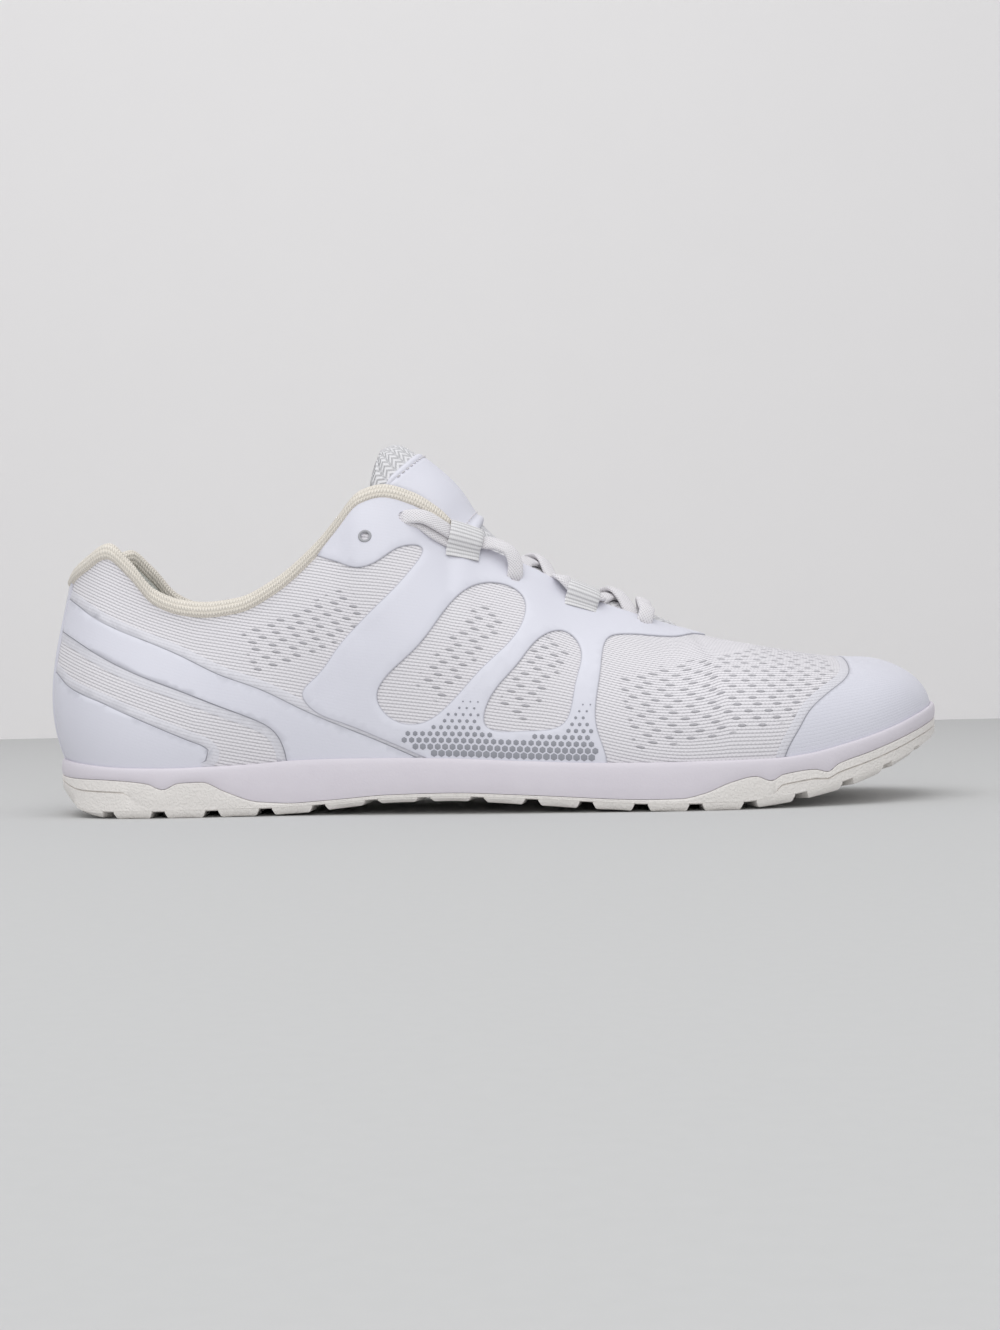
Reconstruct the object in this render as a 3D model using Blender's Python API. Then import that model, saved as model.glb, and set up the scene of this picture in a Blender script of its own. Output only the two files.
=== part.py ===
"""Low barefoot running shoe for the right foot, standing empty on its sole.

The toe points to +X, the lateral side faces -Y, and the floor is at Z = 0.
Every table gives its lengths as shares of the named sizes above it.
"""
import math

import bmesh
import bpy
import numpy as np
from mathutils import Vector

MM = 0.001
LATERAL, MEDIAL = -1, 1

# Driving sizes of the whole shoe
LENGTH = 290 * MM
BALL_WIDTH = 108 * MM
HEEL_WIDTH = 76 * MM
SOLE_EDGE = 16 * MM
TOE_SPRING = 20.5 * MM
INSTEP_HEIGHT = 104 * MM
COLLAR_WIDTH = 60 * MM

# Walls, layers and clearances
GAP = 0.3 * MM
WALL = 2.0 * MM
RAND = 1.4 * MM
TUCK = 2.8 * MM
RUBBER = 1.2 * MM
LUG_HEIGHT = 2.0 * MM
RIM = 1.8 * MM
INSOLE = 3.0 * MM
FILM = 0.6 * MM
BINDING_HEIGHT = 4.6 * MM
BINDING_THICKNESS = 3.6 * MM
LEDGE = RAND + WALL + 3 * GAP
TONGUE_THICKNESS = 3.0 * MM
LACE_WIDTH = 4.0 * MM
LACE_THICKNESS = 1.8 * MM

# Share of the feather line, from heel to toe, where the throat closes
VAMP_POINT = 0.69
BINDING_END = 0.45

# Tread: rows of lugs along the sole, by share of the feather line
LUG_ROWS = 18
TREAD_START = 0.080
TREAD_END = 0.955
LUG_GAP = 0.25
EDGE_LUG_DEPTH = 15.0 * MM
LUG_INSET = 0.7 * MM
INNER_LUG_WIDTH = 30 * MM

# Fineness of the meshes
SIDE_STEPS = 34
SECTION_STEPS = 6

# Plan outline of the sole: along as a share of LENGTH, across as a share of the local width
OUTLINE = (
    (0.0086, 0.0), (0.024, -0.27), (0.069, -0.44), (0.155, -0.50), (0.31, -0.515), (0.45, -0.43),
    (0.57, -0.47), (0.68, -0.50), (0.78, -0.478), (0.865, -0.40), (0.935, -0.275), (0.982, -0.10),
    (1.0, 0.10), (0.985, 0.275), (0.935, 0.405), (0.85, 0.475), (0.745, 0.50), (0.63, 0.465),
    (0.52, 0.392), (0.40, 0.403), (0.28, 0.455), (0.155, 0.485), (0.069, 0.43), (0.024, 0.265),
)
TOE_ROW = 12

# Heights along the sole: tread tips and lug depth, then rubber rim, midsole edge and footbed
# along, tips / TOE_SPRING, lugs / LUG_HEIGHT, rim, edge and bed / SOLE_EDGE
SOLE_NAMES = ("along", "tips", "lugs", "rim", "edge", "bed")
SOLE_ROWS = (
    (0.000, 0.560, 0.00, 0.875, 1.175, 0.930),
    (0.020, 0.370, 0.00, 0.812, 1.137, 0.700),
    (0.040, 0.127, 0.25, 0.781, 1.087, 0.610),
    (0.065, 0.029, 0.75, 0.769, 1.037, 0.585),
    (0.090, 0.000, 1.00, 0.744, 1.000, 0.580),
    (0.120, 0.000, 1.00, 0.681, 0.981, 0.580),
    (0.138, 0.000, 1.00, 0.560, 0.975, 0.580),
    (0.155, 0.000, 1.00, 0.681, 0.975, 0.580),
    (0.180, 0.000, 1.00, 0.694, 0.987, 0.585),
    (0.205, 0.005, 1.00, 0.500, 1.000, 0.590),
    (0.240, 0.015, 1.00, 0.290, 1.030, 0.600),
    (0.280, 0.035, 1.00, 0.250, 1.080, 0.620),
    (0.330, 0.105, 0.80, 0.300, 1.100, 0.650),
    (0.380, 0.180, 0.60, 0.350, 1.100, 0.680),
    (0.450, 0.200, 0.60, 0.365, 1.075, 0.690),
    (0.520, 0.140, 0.80, 0.325, 1.010, 0.640),
    (0.600, 0.055, 1.00, 0.270, 0.950, 0.580),
    (0.660, 0.010, 1.00, 0.235, 0.937, 0.560),
    (0.690, 0.000, 1.00, 0.240, 0.937, 0.555),
    (0.715, 0.000, 1.00, 0.330, 0.944, 0.555),
    (0.745, 0.000, 1.00, 0.537, 0.950, 0.560),
    (0.770, 0.025, 1.00, 0.631, 0.956, 0.575),
    (0.787, 0.048, 1.00, 0.537, 0.962, 0.590),
    (0.800, 0.073, 1.00, 0.650, 0.975, 0.605),
    (0.835, 0.156, 1.00, 0.725, 1.050, 0.680),
    (0.850, 0.200, 1.00, 0.669, 1.106, 0.730),
    (0.862, 0.239, 1.00, 0.812, 1.156, 0.780),
    (0.900, 0.400, 0.90, 1.019, 1.325, 0.980),
    (0.935, 0.595, 0.70, 1.225, 1.519, 1.190),
    (0.965, 0.790, 0.50, 1.412, 1.712, 1.430),
    (1.000, 1.000, 0.10, 1.625, 1.937, 1.720),
)

# Top line of the upper, by share of the feather line: the collar's binding down to the throat,
# then the ridge of the vamp. along / LENGTH, across / half COLLAR_WIDTH, height / INSTEP_HEIGHT
TOP_NAMES = ("share", "along", "across", "height")
TOP_ROWS = (
    (0.000, 0.019, 0.000, 0.726),
    (0.040, 0.029, 0.320, 0.756),
    (0.075, 0.052, 0.590, 0.806),
    (0.105, 0.076, 0.730, 0.840),
    (0.130, 0.100, 0.810, 0.784),
    (0.160, 0.128, 0.880, 0.696),
    (0.190, 0.159, 0.935, 0.661),
    (0.215, 0.186, 0.970, 0.652),
    (0.245, 0.221, 1.000, 0.663),
    (0.280, 0.262, 1.010, 0.719),
    (0.315, 0.303, 0.980, 0.817),
    (0.340, 0.331, 0.920, 0.909),
    (0.362, 0.355, 0.915, 0.985),
    (0.385, 0.379, 0.880, 1.004),
    (0.415, 0.410, 0.820, 0.981),
    (0.440, 0.438, 0.770, 0.933),
    (0.460, 0.457, 0.735, 0.879),
    (0.480, 0.480, 0.690, 0.815),
    (0.510, 0.511, 0.645, 0.772),
    (0.540, 0.545, 0.610, 0.730),
    (0.570, 0.579, 0.575, 0.676),
    (0.600, 0.614, 0.545, 0.627),
    (0.630, 0.648, 0.500, 0.593),
    (0.655, 0.679, 0.410, 0.565),
    (0.672, 0.700, 0.280, 0.547),
    (0.684, 0.712, 0.130, 0.540),
    (0.690, 0.717, 0.000, 0.537),
    (0.720, 0.739, -0.015, 0.518),
    (0.760, 0.771, -0.060, 0.496),
    (0.800, 0.803, -0.120, 0.477),
    (0.850, 0.838, -0.190, 0.458),
    (0.900, 0.869, -0.260, 0.446),
    (0.950, 0.893, -0.310, 0.440),
    (1.000, 0.910, -0.340, 0.440),
)

# Fullness of the upper's sections, by share of the feather line: the lean of the wall at the
# sole and its dip at the top in degrees, and the reach of both as shares of the section's chord
SECTION_NAMES = ("share", "lean", "low_reach", "dip", "top_reach")
SECTION_ROWS = (
    (0.00, 24.0, 0.38, 78.0, 0.30),
    (0.05, 22.0, 0.37, 78.0, 0.30),
    (0.10, 16.0, 0.36, 76.0, 0.30),
    (0.20, 9.0, 0.34, 72.0, 0.30),
    (0.30, 7.0, 0.32, 68.0, 0.32),
    (0.36, 4.0, 0.30, 64.0, 0.34),
    (0.42, 2.0, 0.32, 58.0, 0.35),
    (0.46, 1.0, 0.32, 52.0, 0.36),
    (0.50, 1.0, 0.33, 46.0, 0.36),
    (0.55, 2.0, 0.34, 40.0, 0.36),
    (0.60, 4.0, 0.36, 33.0, 0.36),
    (0.65, 6.0, 0.38, 22.0, 0.38),
    (0.69, 7.0, 0.38, 4.0, 0.42),
    (0.75, 6.0, 0.38, 0.0, 0.46),
    (0.85, 2.0, 0.36, 0.0, 0.46),
    (0.95, -5.0, 0.32, 0.0, 0.45),
    (1.00, -8.0, 0.30, 0.0, 0.45),
)

# Edges of the film overlays in side view: along / LENGTH, height / INSTEP_HEIGHT
CAP_EDGE = (
    (0.889, 0.470), (0.889, 0.436), (0.886, 0.395), (0.876, 0.365), (0.862, 0.342), (0.845, 0.313),
    (0.831, 0.280), (0.821, 0.239), (0.810, 0.192), (0.803, 0.149), (0.800, 0.050),
)
BAND_TOP = (
    (-0.020, 0.720), (0.024, 0.672), (0.066, 0.601), (0.114, 0.538), (0.159, 0.484), (0.200, 0.427),
    (0.245, 0.380), (0.286, 0.323), (0.331, 0.267), (0.372, 0.220), (0.414, 0.167), (0.450, 0.120),
    (0.500, 0.055),
)
BAND_LOW = (
    (-0.020, 0.610), (0.024, 0.562), (0.066, 0.496), (0.114, 0.429), (0.159, 0.379), (0.200, 0.332),
    (0.238, 0.290), (0.259, 0.253), (0.269, 0.200), (0.270, 0.050),
)
COUNTER_TOP = (
    (-0.020, 0.470), (0.010, 0.443), (0.024, 0.412), (0.062, 0.362), (0.103, 0.310), (0.148, 0.254),
    (0.172, 0.226), (0.186, 0.206), (0.190, 0.190), (0.184, 0.170), (0.170, 0.050),
)
SADDLE_REAR = (
    (0.290, 0.860), (0.303, 0.790), (0.325, 0.766), (0.352, 0.742), (0.376, 0.764), (0.402, 0.805),
    (0.421, 0.800), (0.411, 0.740), (0.368, 0.615), (0.328, 0.497), (0.304, 0.413), (0.290, 0.365),
    (0.298, 0.324), (0.331, 0.277), (0.372, 0.230), (0.414, 0.178), (0.450, 0.131), (0.500, 0.066),
)
SADDLE_FRONT = (
    (0.617, 0.050), (0.612, 0.180), (0.604, 0.256), (0.606, 0.350), (0.612, 0.440), (0.622, 0.515),
    (0.640, 0.524), (0.665, 0.520), (0.690, 0.512), (0.712, 0.510), (0.725, 0.512), (0.735, 0.540),
)
WINDOWS = (
    ((0.385, 0.290), (0.372, 0.340), (0.412, 0.490), (0.452, 0.630), (0.482, 0.686), (0.531, 0.636),
     (0.527, 0.560), (0.487, 0.440), (0.446, 0.320), (0.418, 0.272)),
    ((0.486, 0.268), (0.490, 0.330), (0.522, 0.440), (0.548, 0.520), (0.575, 0.536), (0.589, 0.495),
     (0.583, 0.380), (0.570, 0.265), (0.528, 0.243)),
)
STRIP_EDGE = (
    (0.029, 0.745), (0.0155, 0.654), (0.009, 0.558), (0.0055, 0.452), (0.0052, 0.365), (0.009, 0.279),
    (0.0145, 0.210), (0.019, 0.150),
)

# Tongue where it lies in the throat, by share of the feather line: how far its middle stands over
# the throat's edges / half COLLAR_WIDTH, and how low its own edges reach under the upper
TUCKED_ROWS = (
    (0.680, 0.020, 0.93), (0.660, 0.080, 0.90), (0.635, 0.105, 0.86), (0.605, 0.100, 0.84),
    (0.575, 0.090, 0.83), (0.545, 0.080, 0.82), (0.520, 0.130, 0.83), (0.500, 0.220, 0.85),
)
# Tongue where it stands free: its middle as along / LENGTH and height / INSTEP_HEIGHT, then the
# half width, set back and drop of its edge / half COLLAR_WIDTH
FREE_ROWS = (
    (0.478, 0.915, 0.62, 0.22, 0.36),
    (0.462, 0.985, 0.60, 0.26, 0.34),
    (0.440, 1.050, 0.58, 0.30, 0.34),
    (0.414, 1.110, 0.60, 0.36, 0.38),
    (0.388, 1.150, 0.58, 0.40, 0.46),
)

# Patch on the tongue: its first and last free row, and its share of the tongue's width
PATCH_ROWS = (1, 4)
PATCH_WIDTH = 0.62

# Holders of the lace from the front of the throat to the collar, alike on both sides:
# share of the feather line and of the section
EYELETS = {"front": (0.645, 0.88), "middle": (0.520, 0.93), "top": (0.392, 0.93)}
LOOPS = {"low": 0.583, "high": 0.468}
LOOP_ROOT = 0.90
LOOP_WIDTH = 7.0 * MM
LOOP_THICKNESS = 1.4 * MM
LOOP_REACH = 5.0 * MM
LACE_LIFT = 1.6 * MM


def natural_spline(knots, values, at):
    """Smooth curve through the values, read at the given places."""
    knots, values, at = (np.asarray(item, dtype=float) for item in (knots, values, at))
    steps = np.diff(knots)
    count = len(knots)
    matrix, right = np.eye(count), np.zeros(count)
    for i in range(1, count - 1):
        matrix[i, i - 1:i + 2] = steps[i - 1], 2 * (steps[i - 1] + steps[i]), steps[i]
        right[i] = 6 * ((values[i + 1] - values[i]) / steps[i] - (values[i] - values[i - 1]) / steps[i - 1])
    bend = np.linalg.solve(matrix, right)
    k = np.clip(np.searchsorted(knots, at) - 1, 0, count - 2)
    d, h = at - knots[k], steps[k]
    slope = (values[k + 1] - values[k]) / h - h * (2 * bend[k] + bend[k + 1]) / 6
    return values[k] + d * slope + d * d * bend[k] / 2 + d ** 3 * (bend[k + 1] - bend[k]) / (6 * h)


class Table:
    """Rows of named columns, read smoothly between rows and never past a row's own values."""

    def __init__(self, names, rows):
        self.keys = [row[0] for row in rows]
        self.columns = {name: [row[i] for row in rows] for i, name in enumerate(names)}
        self.slopes = {name: self.gentle_slopes(values) for name, values in self.columns.items()}

    def gentle_slopes(self, values):
        steps = [b - a for a, b in zip(self.keys, self.keys[1:])]
        rises = [(b - a) / step for a, b, step in zip(values, values[1:], steps)]
        slopes = [rises[0]]
        for before, after in zip(rises, rises[1:]):
            slopes.append(0.0 if before * after <= 0 else 2 * before * after / (before + after))
        return slopes + [rises[-1]]

    def at(self, name, key):
        key = min(max(key, self.keys[0]), self.keys[-1])
        k = 0
        while k < len(self.keys) - 2 and key > self.keys[k + 1]:
            k += 1
        step = self.keys[k + 1] - self.keys[k]
        t = (key - self.keys[k]) / step
        low, high = self.columns[name][k:k + 2]
        slope_low, slope_high = self.slopes[name][k:k + 2]
        return (low * (1 + 2 * t) * (1 - t) ** 2 + slope_low * step * t * (1 - t) ** 2
                + high * t * t * (3 - 2 * t) + slope_high * step * t * t * (t - 1))


def blend(a, b, t):
    return a + (b - a) * t


def soft_step(value, low, high):
    t = min(max((value - low) / (high - low), 0.0), 1.0)
    return t * t * (3 - 2 * t)


def local_width(along):
    return blend(HEEL_WIDTH, BALL_WIDTH, soft_step(along, 0.31, 0.45))


def trace_outline():
    """Dense points down each side of the sole's outline, from heel to toe."""
    points = [(along * LENGTH, across * local_width(along)) for along, across in OUTLINE]
    lap = 4
    loop = np.array(points[-lap:] + points + points[:lap + 1])
    chord = np.concatenate([[0], np.cumsum(np.linalg.norm(np.diff(loop, axis=0), axis=1))])
    heel, toe, end = chord[lap], chord[lap + TOE_ROW], chord[lap + len(points)]
    sides = {}
    for side, start in ((LATERAL, heel), (MEDIAL, end)):
        at = np.linspace(start, toe, 801)
        trace = np.stack([natural_spline(chord, loop[:, i], at) for i in (0, 1)], axis=1)
        run = np.concatenate([[0], np.cumsum(np.linalg.norm(np.diff(trace, axis=0), axis=1))])
        sides[side] = (run / run[-1], trace)
    return sides


SOLE = Table(SOLE_NAMES, SOLE_ROWS)
TOP = Table(TOP_NAMES, TOP_ROWS)
SECTIONS = Table(SECTION_NAMES, SECTION_ROWS)
TRACE = trace_outline()


def plan_point(side, share, inset=0.0):
    """A point of the sole's outline, moved inward, and the outward direction there."""
    shares, trace = TRACE[side]
    def read(at):
        return Vector((np.interp(at, shares, trace[:, 0]), np.interp(at, shares, trace[:, 1]), 0))
    point = read(share)
    run = read(min(share + 0.004, 1)) - read(max(share - 0.004, 0))
    if share in (0, 1):
        run = Vector((0, side * (1 if share == 0 else -1), 0))
    outward = Vector((run.y, -run.x, 0)).normalized() * -side
    return point - outward * inset, outward


def stand(point, height):
    """The point at the given height, with the shoe's middle at X = 0."""
    return Vector((point.x - LENGTH / 2, point.y, height))


def sole_height(name, x):
    """Height above the floor of one line of the sole at a place along its length."""
    along = x / LENGTH
    tips = SOLE.at("tips", along) * TOE_SPRING
    if name == "tips":
        return tips
    underside = tips + SOLE.at("lugs", along) * LUG_HEIGHT
    if name == "underside":
        return underside
    if name == "web":
        return underside + RUBBER
    height = SOLE.at(name, along) * SOLE_EDGE
    return max(height, underside + RUBBER + 0.1 * MM) if name == "rim" else height


def binding_share(share):
    """Part of the binding's full height that stands on the upper here."""
    rise = blend(0.6, 1.0, soft_step(share, 0.0, 0.08))
    return rise * (1 - soft_step(share, BINDING_END, BINDING_END + 0.025))


def top_point(side, share):
    """The upper's top edge: under the collar's binding, along the throat, then the ridge of the vamp."""
    across = TOP.at("across", share) * COLLAR_WIDTH / 2
    across = side * across if share <= VAMP_POINT else -across
    height = TOP.at("height", share) * INSTEP_HEIGHT
    height -= binding_share(share) * (BINDING_HEIGHT + GAP)
    return Vector((TOP.at("along", share) * LENGTH, across, height))


def upper_point(side, share, rise):
    """The upper's outer face: rise -1 to 0 is tucked in the midsole, 0 to 1 goes to the top."""
    base, outward = plan_point(side, share, RAND + GAP)
    edge = sole_height("edge", base.x)
    if rise < 0:
        return stand(base, blend(edge, edge - TUCK + GAP, -rise))
    top = top_point(side, share)
    foot = Vector((base.x, base.y, edge))
    chord = (top - foot).length
    lean = math.radians(SECTIONS.at("lean", share))
    dip = math.radians(SECTIONS.at("dip", share))
    up = Vector((0, 0, 1))
    low = foot + (outward * math.sin(lean) + up * math.cos(lean)) * chord * SECTIONS.at("low_reach", share)
    high = top + (outward * math.cos(dip) - up * math.sin(dip)) * chord * SECTIONS.at("top_reach", share)
    t = rise
    place = foot * (1 - t) ** 3 + low * 3 * t * (1 - t) ** 2 + high * 3 * t * t * (1 - t) + top * t ** 3
    return stand(place, place.z)


def outward_at(side, share, rise):
    """Outward direction of the upper's face on one side."""
    step = 0.004
    along = upper_point(side, min(share + step, 1), rise) - upper_point(side, max(share - step, 0), rise)
    low, high = (max(rise - step, 0), min(rise + step, 1)) if rise >= 0 else (rise, rise + step)
    up = upper_point(side, share, high) - upper_point(side, share, low)
    return (up.cross(along) * side).normalized()


def on_upper(side, share, rise, lift=0.0):
    """A point of the upper's face moved outward; both sides agree where they meet."""
    normal = outward_at(side, share, rise)
    if share in (0, 1) or (rise == 1 and share >= VAMP_POINT):
        normal = (normal + outward_at(-side, share, rise)).normalized()
    return upper_point(side, share, rise) + normal * lift


def material(name, colour, roughness):
    made = bpy.data.materials.new(name)
    made.use_nodes = True
    shader = made.node_tree.nodes["Principled BSDF"]
    shader.inputs["Base Color"].default_value = (*colour, 1)
    shader.inputs["Roughness"].default_value = roughness
    made.diffuse_color = (*colour, 1)
    return made


def add_object(name, mesh_data, colour_material, weld=True):
    """Turn vertices and faces into one closed object with outward faces."""
    mesh = bpy.data.meshes.new(name)
    mesh.from_pydata([tuple(v) for v in mesh_data[0]], [], mesh_data[1])
    work = bmesh.new()
    work.from_mesh(mesh)
    if weld:
        bmesh.ops.remove_doubles(work, verts=work.verts, dist=0.002 * MM)
    bmesh.ops.dissolve_degenerate(work, edges=work.edges, dist=0.0005 * MM)
    bmesh.ops.recalc_face_normals(work, faces=work.faces)
    bmesh.ops.triangulate(work, faces=work.faces, quad_method="SHORT_EDGE")
    work.to_mesh(mesh)
    work.free()
    mesh.shade_smooth()
    mesh.set_sharp_from_angle(angle=math.radians(40))
    if colour_material:
        mesh.materials.append(colour_material)
    made = bpy.data.objects.new(name, mesh)
    bpy.context.scene.collection.objects.link(made)
    return made


def ladder(count, start):
    """Faces across a ring whose two halves mirror each other, heel at 0 and toe at count / 2."""
    half = count // 2
    faces = [(start, start + 1, start + count - 1)]
    for i in range(1, half - 1):
        faces.append((start + i, start + i + 1, start + count - i - 1, start + count - i))
    faces.append((start + half - 1, start + half, start + half + 1))
    return faces


def stacked_rings(rings):
    """Closed body through equal rings, with a ladder across its first and last ring."""
    count = len(rings[0])
    vertices = [point for ring in rings for point in ring]
    faces = ladder(count, 0) + ladder(count, (len(rings) - 1) * count)
    for r in range(len(rings) - 1):
        for i in range(count):
            j = (i + 1) % count
            faces.append((r * count + i, r * count + j, (r + 1) * count + j, (r + 1) * count + i))
    return vertices, faces


def sole_ring(inset, line, rise=0.0, steps=SIDE_STEPS):
    """One ring around the sole, at a line of the side table plus a rise."""
    ring = []
    shares = [i / steps for i in range(steps + 1)]
    for side, run in ((LATERAL, shares), (MEDIAL, shares[-2:0:-1])):
        for share in run:
            point, _ = plan_point(side, share, inset)
            ring.append(stand(point, sole_height(line, point.x) + rise))
    return ring


def make_midsole(foam):
    inner = RIM + 0.6 * MM
    middle = [(a + b) / 2 for a, b in zip(sole_ring(0, "rim", GAP), sole_ring(0, "edge"))]
    rings = [
        sole_ring(inner + GAP, "web", GAP),
        sole_ring(RIM + GAP, "rim", GAP),
        sole_ring(0.3 * MM, "rim", GAP),
        middle,
        sole_ring(0.25 * MM, "edge", -1.0 * MM),
        sole_ring(RAND * 0.6, "edge"),
        sole_ring(RAND, "edge", -0.2 * MM),
        sole_ring(RAND, "edge", -TUCK),
        sole_ring(LEDGE, "edge", -TUCK),
        sole_ring(LEDGE + 0.2 * MM, "bed"),
    ]
    return add_object("midsole", stacked_rings(rings), foam)


def make_insole(cloth):
    inset = LEDGE + 0.2 * MM + GAP
    rings = [sole_ring(inset, "bed", GAP), sole_ring(inset, "bed", INSOLE), sole_ring(2 * inset, "bed", INSOLE + GAP)]
    return add_object("insole", stacked_rings(rings), cloth)


def lug(corners):
    """Tapered block of rubber from its tip on the tread up into the outsole."""
    middle = sum(corners, Vector((0, 0, 0))) / len(corners)
    vertices = []
    for share, line, rise in ((0.9, "tips", 0.0), (1.0, "underside", RUBBER * 0.5)):
        for corner in corners:
            place = middle + (corner - middle) * share
            vertices.append(stand(place, sole_height(line, place.x) + rise))
    count = len(corners)
    faces = [tuple(range(count)), tuple(range(2 * count - 1, count - 1, -1))]
    for i in range(count):
        j = (i + 1) % count
        faces.append((i, i + count, j + count, j))
    return vertices, faces


def tread_lugs():
    """Edge lugs down both sides and shorter lugs between them."""
    lugs = []
    pitch = (TREAD_END - TREAD_START) / LUG_ROWS
    for row in range(LUG_ROWS):
        first = TREAD_START + row * pitch
        last = first + pitch * (1 - LUG_GAP)
        for side in (LATERAL, MEDIAL):
            outer = [plan_point(side, share, LUG_INSET)[0] for share in (first, last)]
            inner = [plan_point(side, share, EDGE_LUG_DEPTH)[0] for share in (last, first)]
            lugs.append(lug(outer + inner))
        inner = {side: [plan_point(side, share, EDGE_LUG_DEPTH + 3 * MM)[0] for share in (first, last)]
                 for side in (LATERAL, MEDIAL)}
        span = (inner[LATERAL][0] - inner[MEDIAL][0]).length
        columns = max(1, round(span / INNER_LUG_WIDTH))
        for column in range(columns):
            low, high = (column + 0.08) / columns, (column + 0.92) / columns
            rear = [inner[LATERAL][0].lerp(inner[MEDIAL][0], t) for t in (low, high)]
            front = [inner[LATERAL][1].lerp(inner[MEDIAL][1], t) for t in (high, low)]
            lugs.append(lug([rear[0], front[1], front[0], rear[1]]))
    return lugs


def make_outsole(rubber):
    inner = RIM + 0.6 * MM
    rings = [
        sole_ring(1.6 * MM, "underside"),
        sole_ring(0.2 * MM, "underside", 0.5 * MM),
        sole_ring(0.0, "rim", -0.5 * MM),
        sole_ring(0.5 * MM, "rim"),
        sole_ring(RIM, "rim"),
        sole_ring(inner, "web"),
    ]
    outsole = add_object("outsole", stacked_rings(rings), rubber)
    vertices, faces = [], []
    for points, sides in tread_lugs():
        faces += [tuple(index + len(vertices) for index in side) for side in sides]
        vertices += points
    lugs = add_object("tread_lugs", (vertices, faces), rubber, weld=False)
    lugs.hide_render = True
    lugs.display_type = "WIRE"
    boolean(outsole, "UNION", lugs)
    return outsole


def grid_shell(columns, low, high, closed=False):
    """Solid between two lifts over a grid of (side, share, rise) columns, open at its edges."""
    count, rows = len(columns), len(columns[0])
    vertices = [on_upper(*place, lift) for lift in (low, high) for column in columns for place in column]
    layer = count * rows
    faces = []
    pairs = [(i, (i + 1) % count) for i in range(count if closed else count - 1)]
    for i, k in pairs:
        for j in range(rows - 1):
            quad = (i * rows + j, k * rows + j, k * rows + j + 1, i * rows + j + 1)
            faces += [quad, tuple(layer + index for index in quad)]
        for j in (0, rows - 1):
            met = all(columns[c][j][2] == 1 and columns[c][j][1] >= VAMP_POINT for c in (i, k))
            if not met:
                a, b = i * rows + j, k * rows + j
                faces.append((a, b, layer + b, layer + a))
    if not closed:
        for i in (0, count - 1):
            for j in range(rows - 1):
                a = i * rows + j
                faces.append((a, a + 1, layer + a + 1, layer + a))
    return vertices, faces


def both_sides(shares):
    """Places round the toe: the lateral side towards the toe, then the medial side back."""
    return [(LATERAL, share) for share in shares] + [(MEDIAL, share) for share in reversed(shares[:-1])]


def even(low, high, steps):
    return [blend(low, high, i / steps) for i in range(steps + 1)]


def open_shares():
    """Places from the heel to the front of the throat, where the upper is open on top."""
    return even(0, VAMP_POINT, round(SIDE_STEPS * VAMP_POINT))


def upper_shares():
    throat = open_shares()
    return throat + even(VAMP_POINT, 1, SIDE_STEPS + 1 - len(throat))[1:]


def make_upper(mesh_cloth):
    rises = [-1.0] + even(0.0, 1.0, SECTION_STEPS)
    columns = [[(side, share, rise) for rise in rises] for side, share in both_sides(upper_shares())[:-1]]
    return add_object("upper", grid_shell(columns, -WALL, 0.0, closed=True), mesh_cloth)


def around_heel(shares):
    """Places round the heel: the lateral side towards the heel, then the medial side."""
    return [(LATERAL, share) for share in reversed(shares[1:])] + [(MEDIAL, share) for share in shares]


def smooth_line(points, steps=2, closed=False):
    """Side-view points in metres, with extra points on a smooth curve between the given ones."""
    line = [(along * LENGTH - LENGTH / 2, height * INSTEP_HEIGHT) for along, height in points]
    lap = 3 if closed else 0
    line = line[-lap:] + line + line[:lap + 1] if closed else line
    chord = np.concatenate([[0], np.cumsum(np.linalg.norm(np.diff(line, axis=0), axis=1))])
    last = len(line) - 1 - lap
    at = [blend(chord[k], chord[k + 1], i / steps) for k in range(lap, last) for i in range(steps)]
    at += [] if closed else [chord[last]]
    columns = list(zip(*line))
    return list(zip(natural_spline(chord, columns[0], at), natural_spline(chord, columns[1], at)))


def side_cutter(name, outline):
    """Prism across the whole shoe from a side-view outline; a guide that only cuts."""
    half = BALL_WIDTH
    vertices = [(x, y, z) for y in (-half, half) for x, z in outline]
    count = len(outline)
    faces = [tuple(range(count)), tuple(range(count, 2 * count))]
    for i in range(count):
        j = (i + 1) % count
        faces.append((i, j, count + j, count + i))
    cutter = add_object(name, (vertices, faces), None, weld=False)
    cutter.hide_render = True
    cutter.display_type = "WIRE"
    return cutter


def boolean(target, operation, cutter):
    cut = target.modifiers.new(cutter.name, "BOOLEAN")
    cut.operation = operation
    cut.object = cutter


def make_film(name, outline, film, lift=GAP):
    """A film welded on the upper inside a side-view outline."""
    rises = [0.012] + even(0.0, 1.0, SECTION_STEPS)[1:]
    columns = [[(side, share, rise) for rise in rises] for side, share in both_sides(upper_shares())[:-1]]
    sheet = add_object(name, grid_shell(columns, lift, lift + FILM, closed=True), film)
    boolean(sheet, "INTERSECT", side_cutter(name + "_outline", outline))
    return sheet


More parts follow.
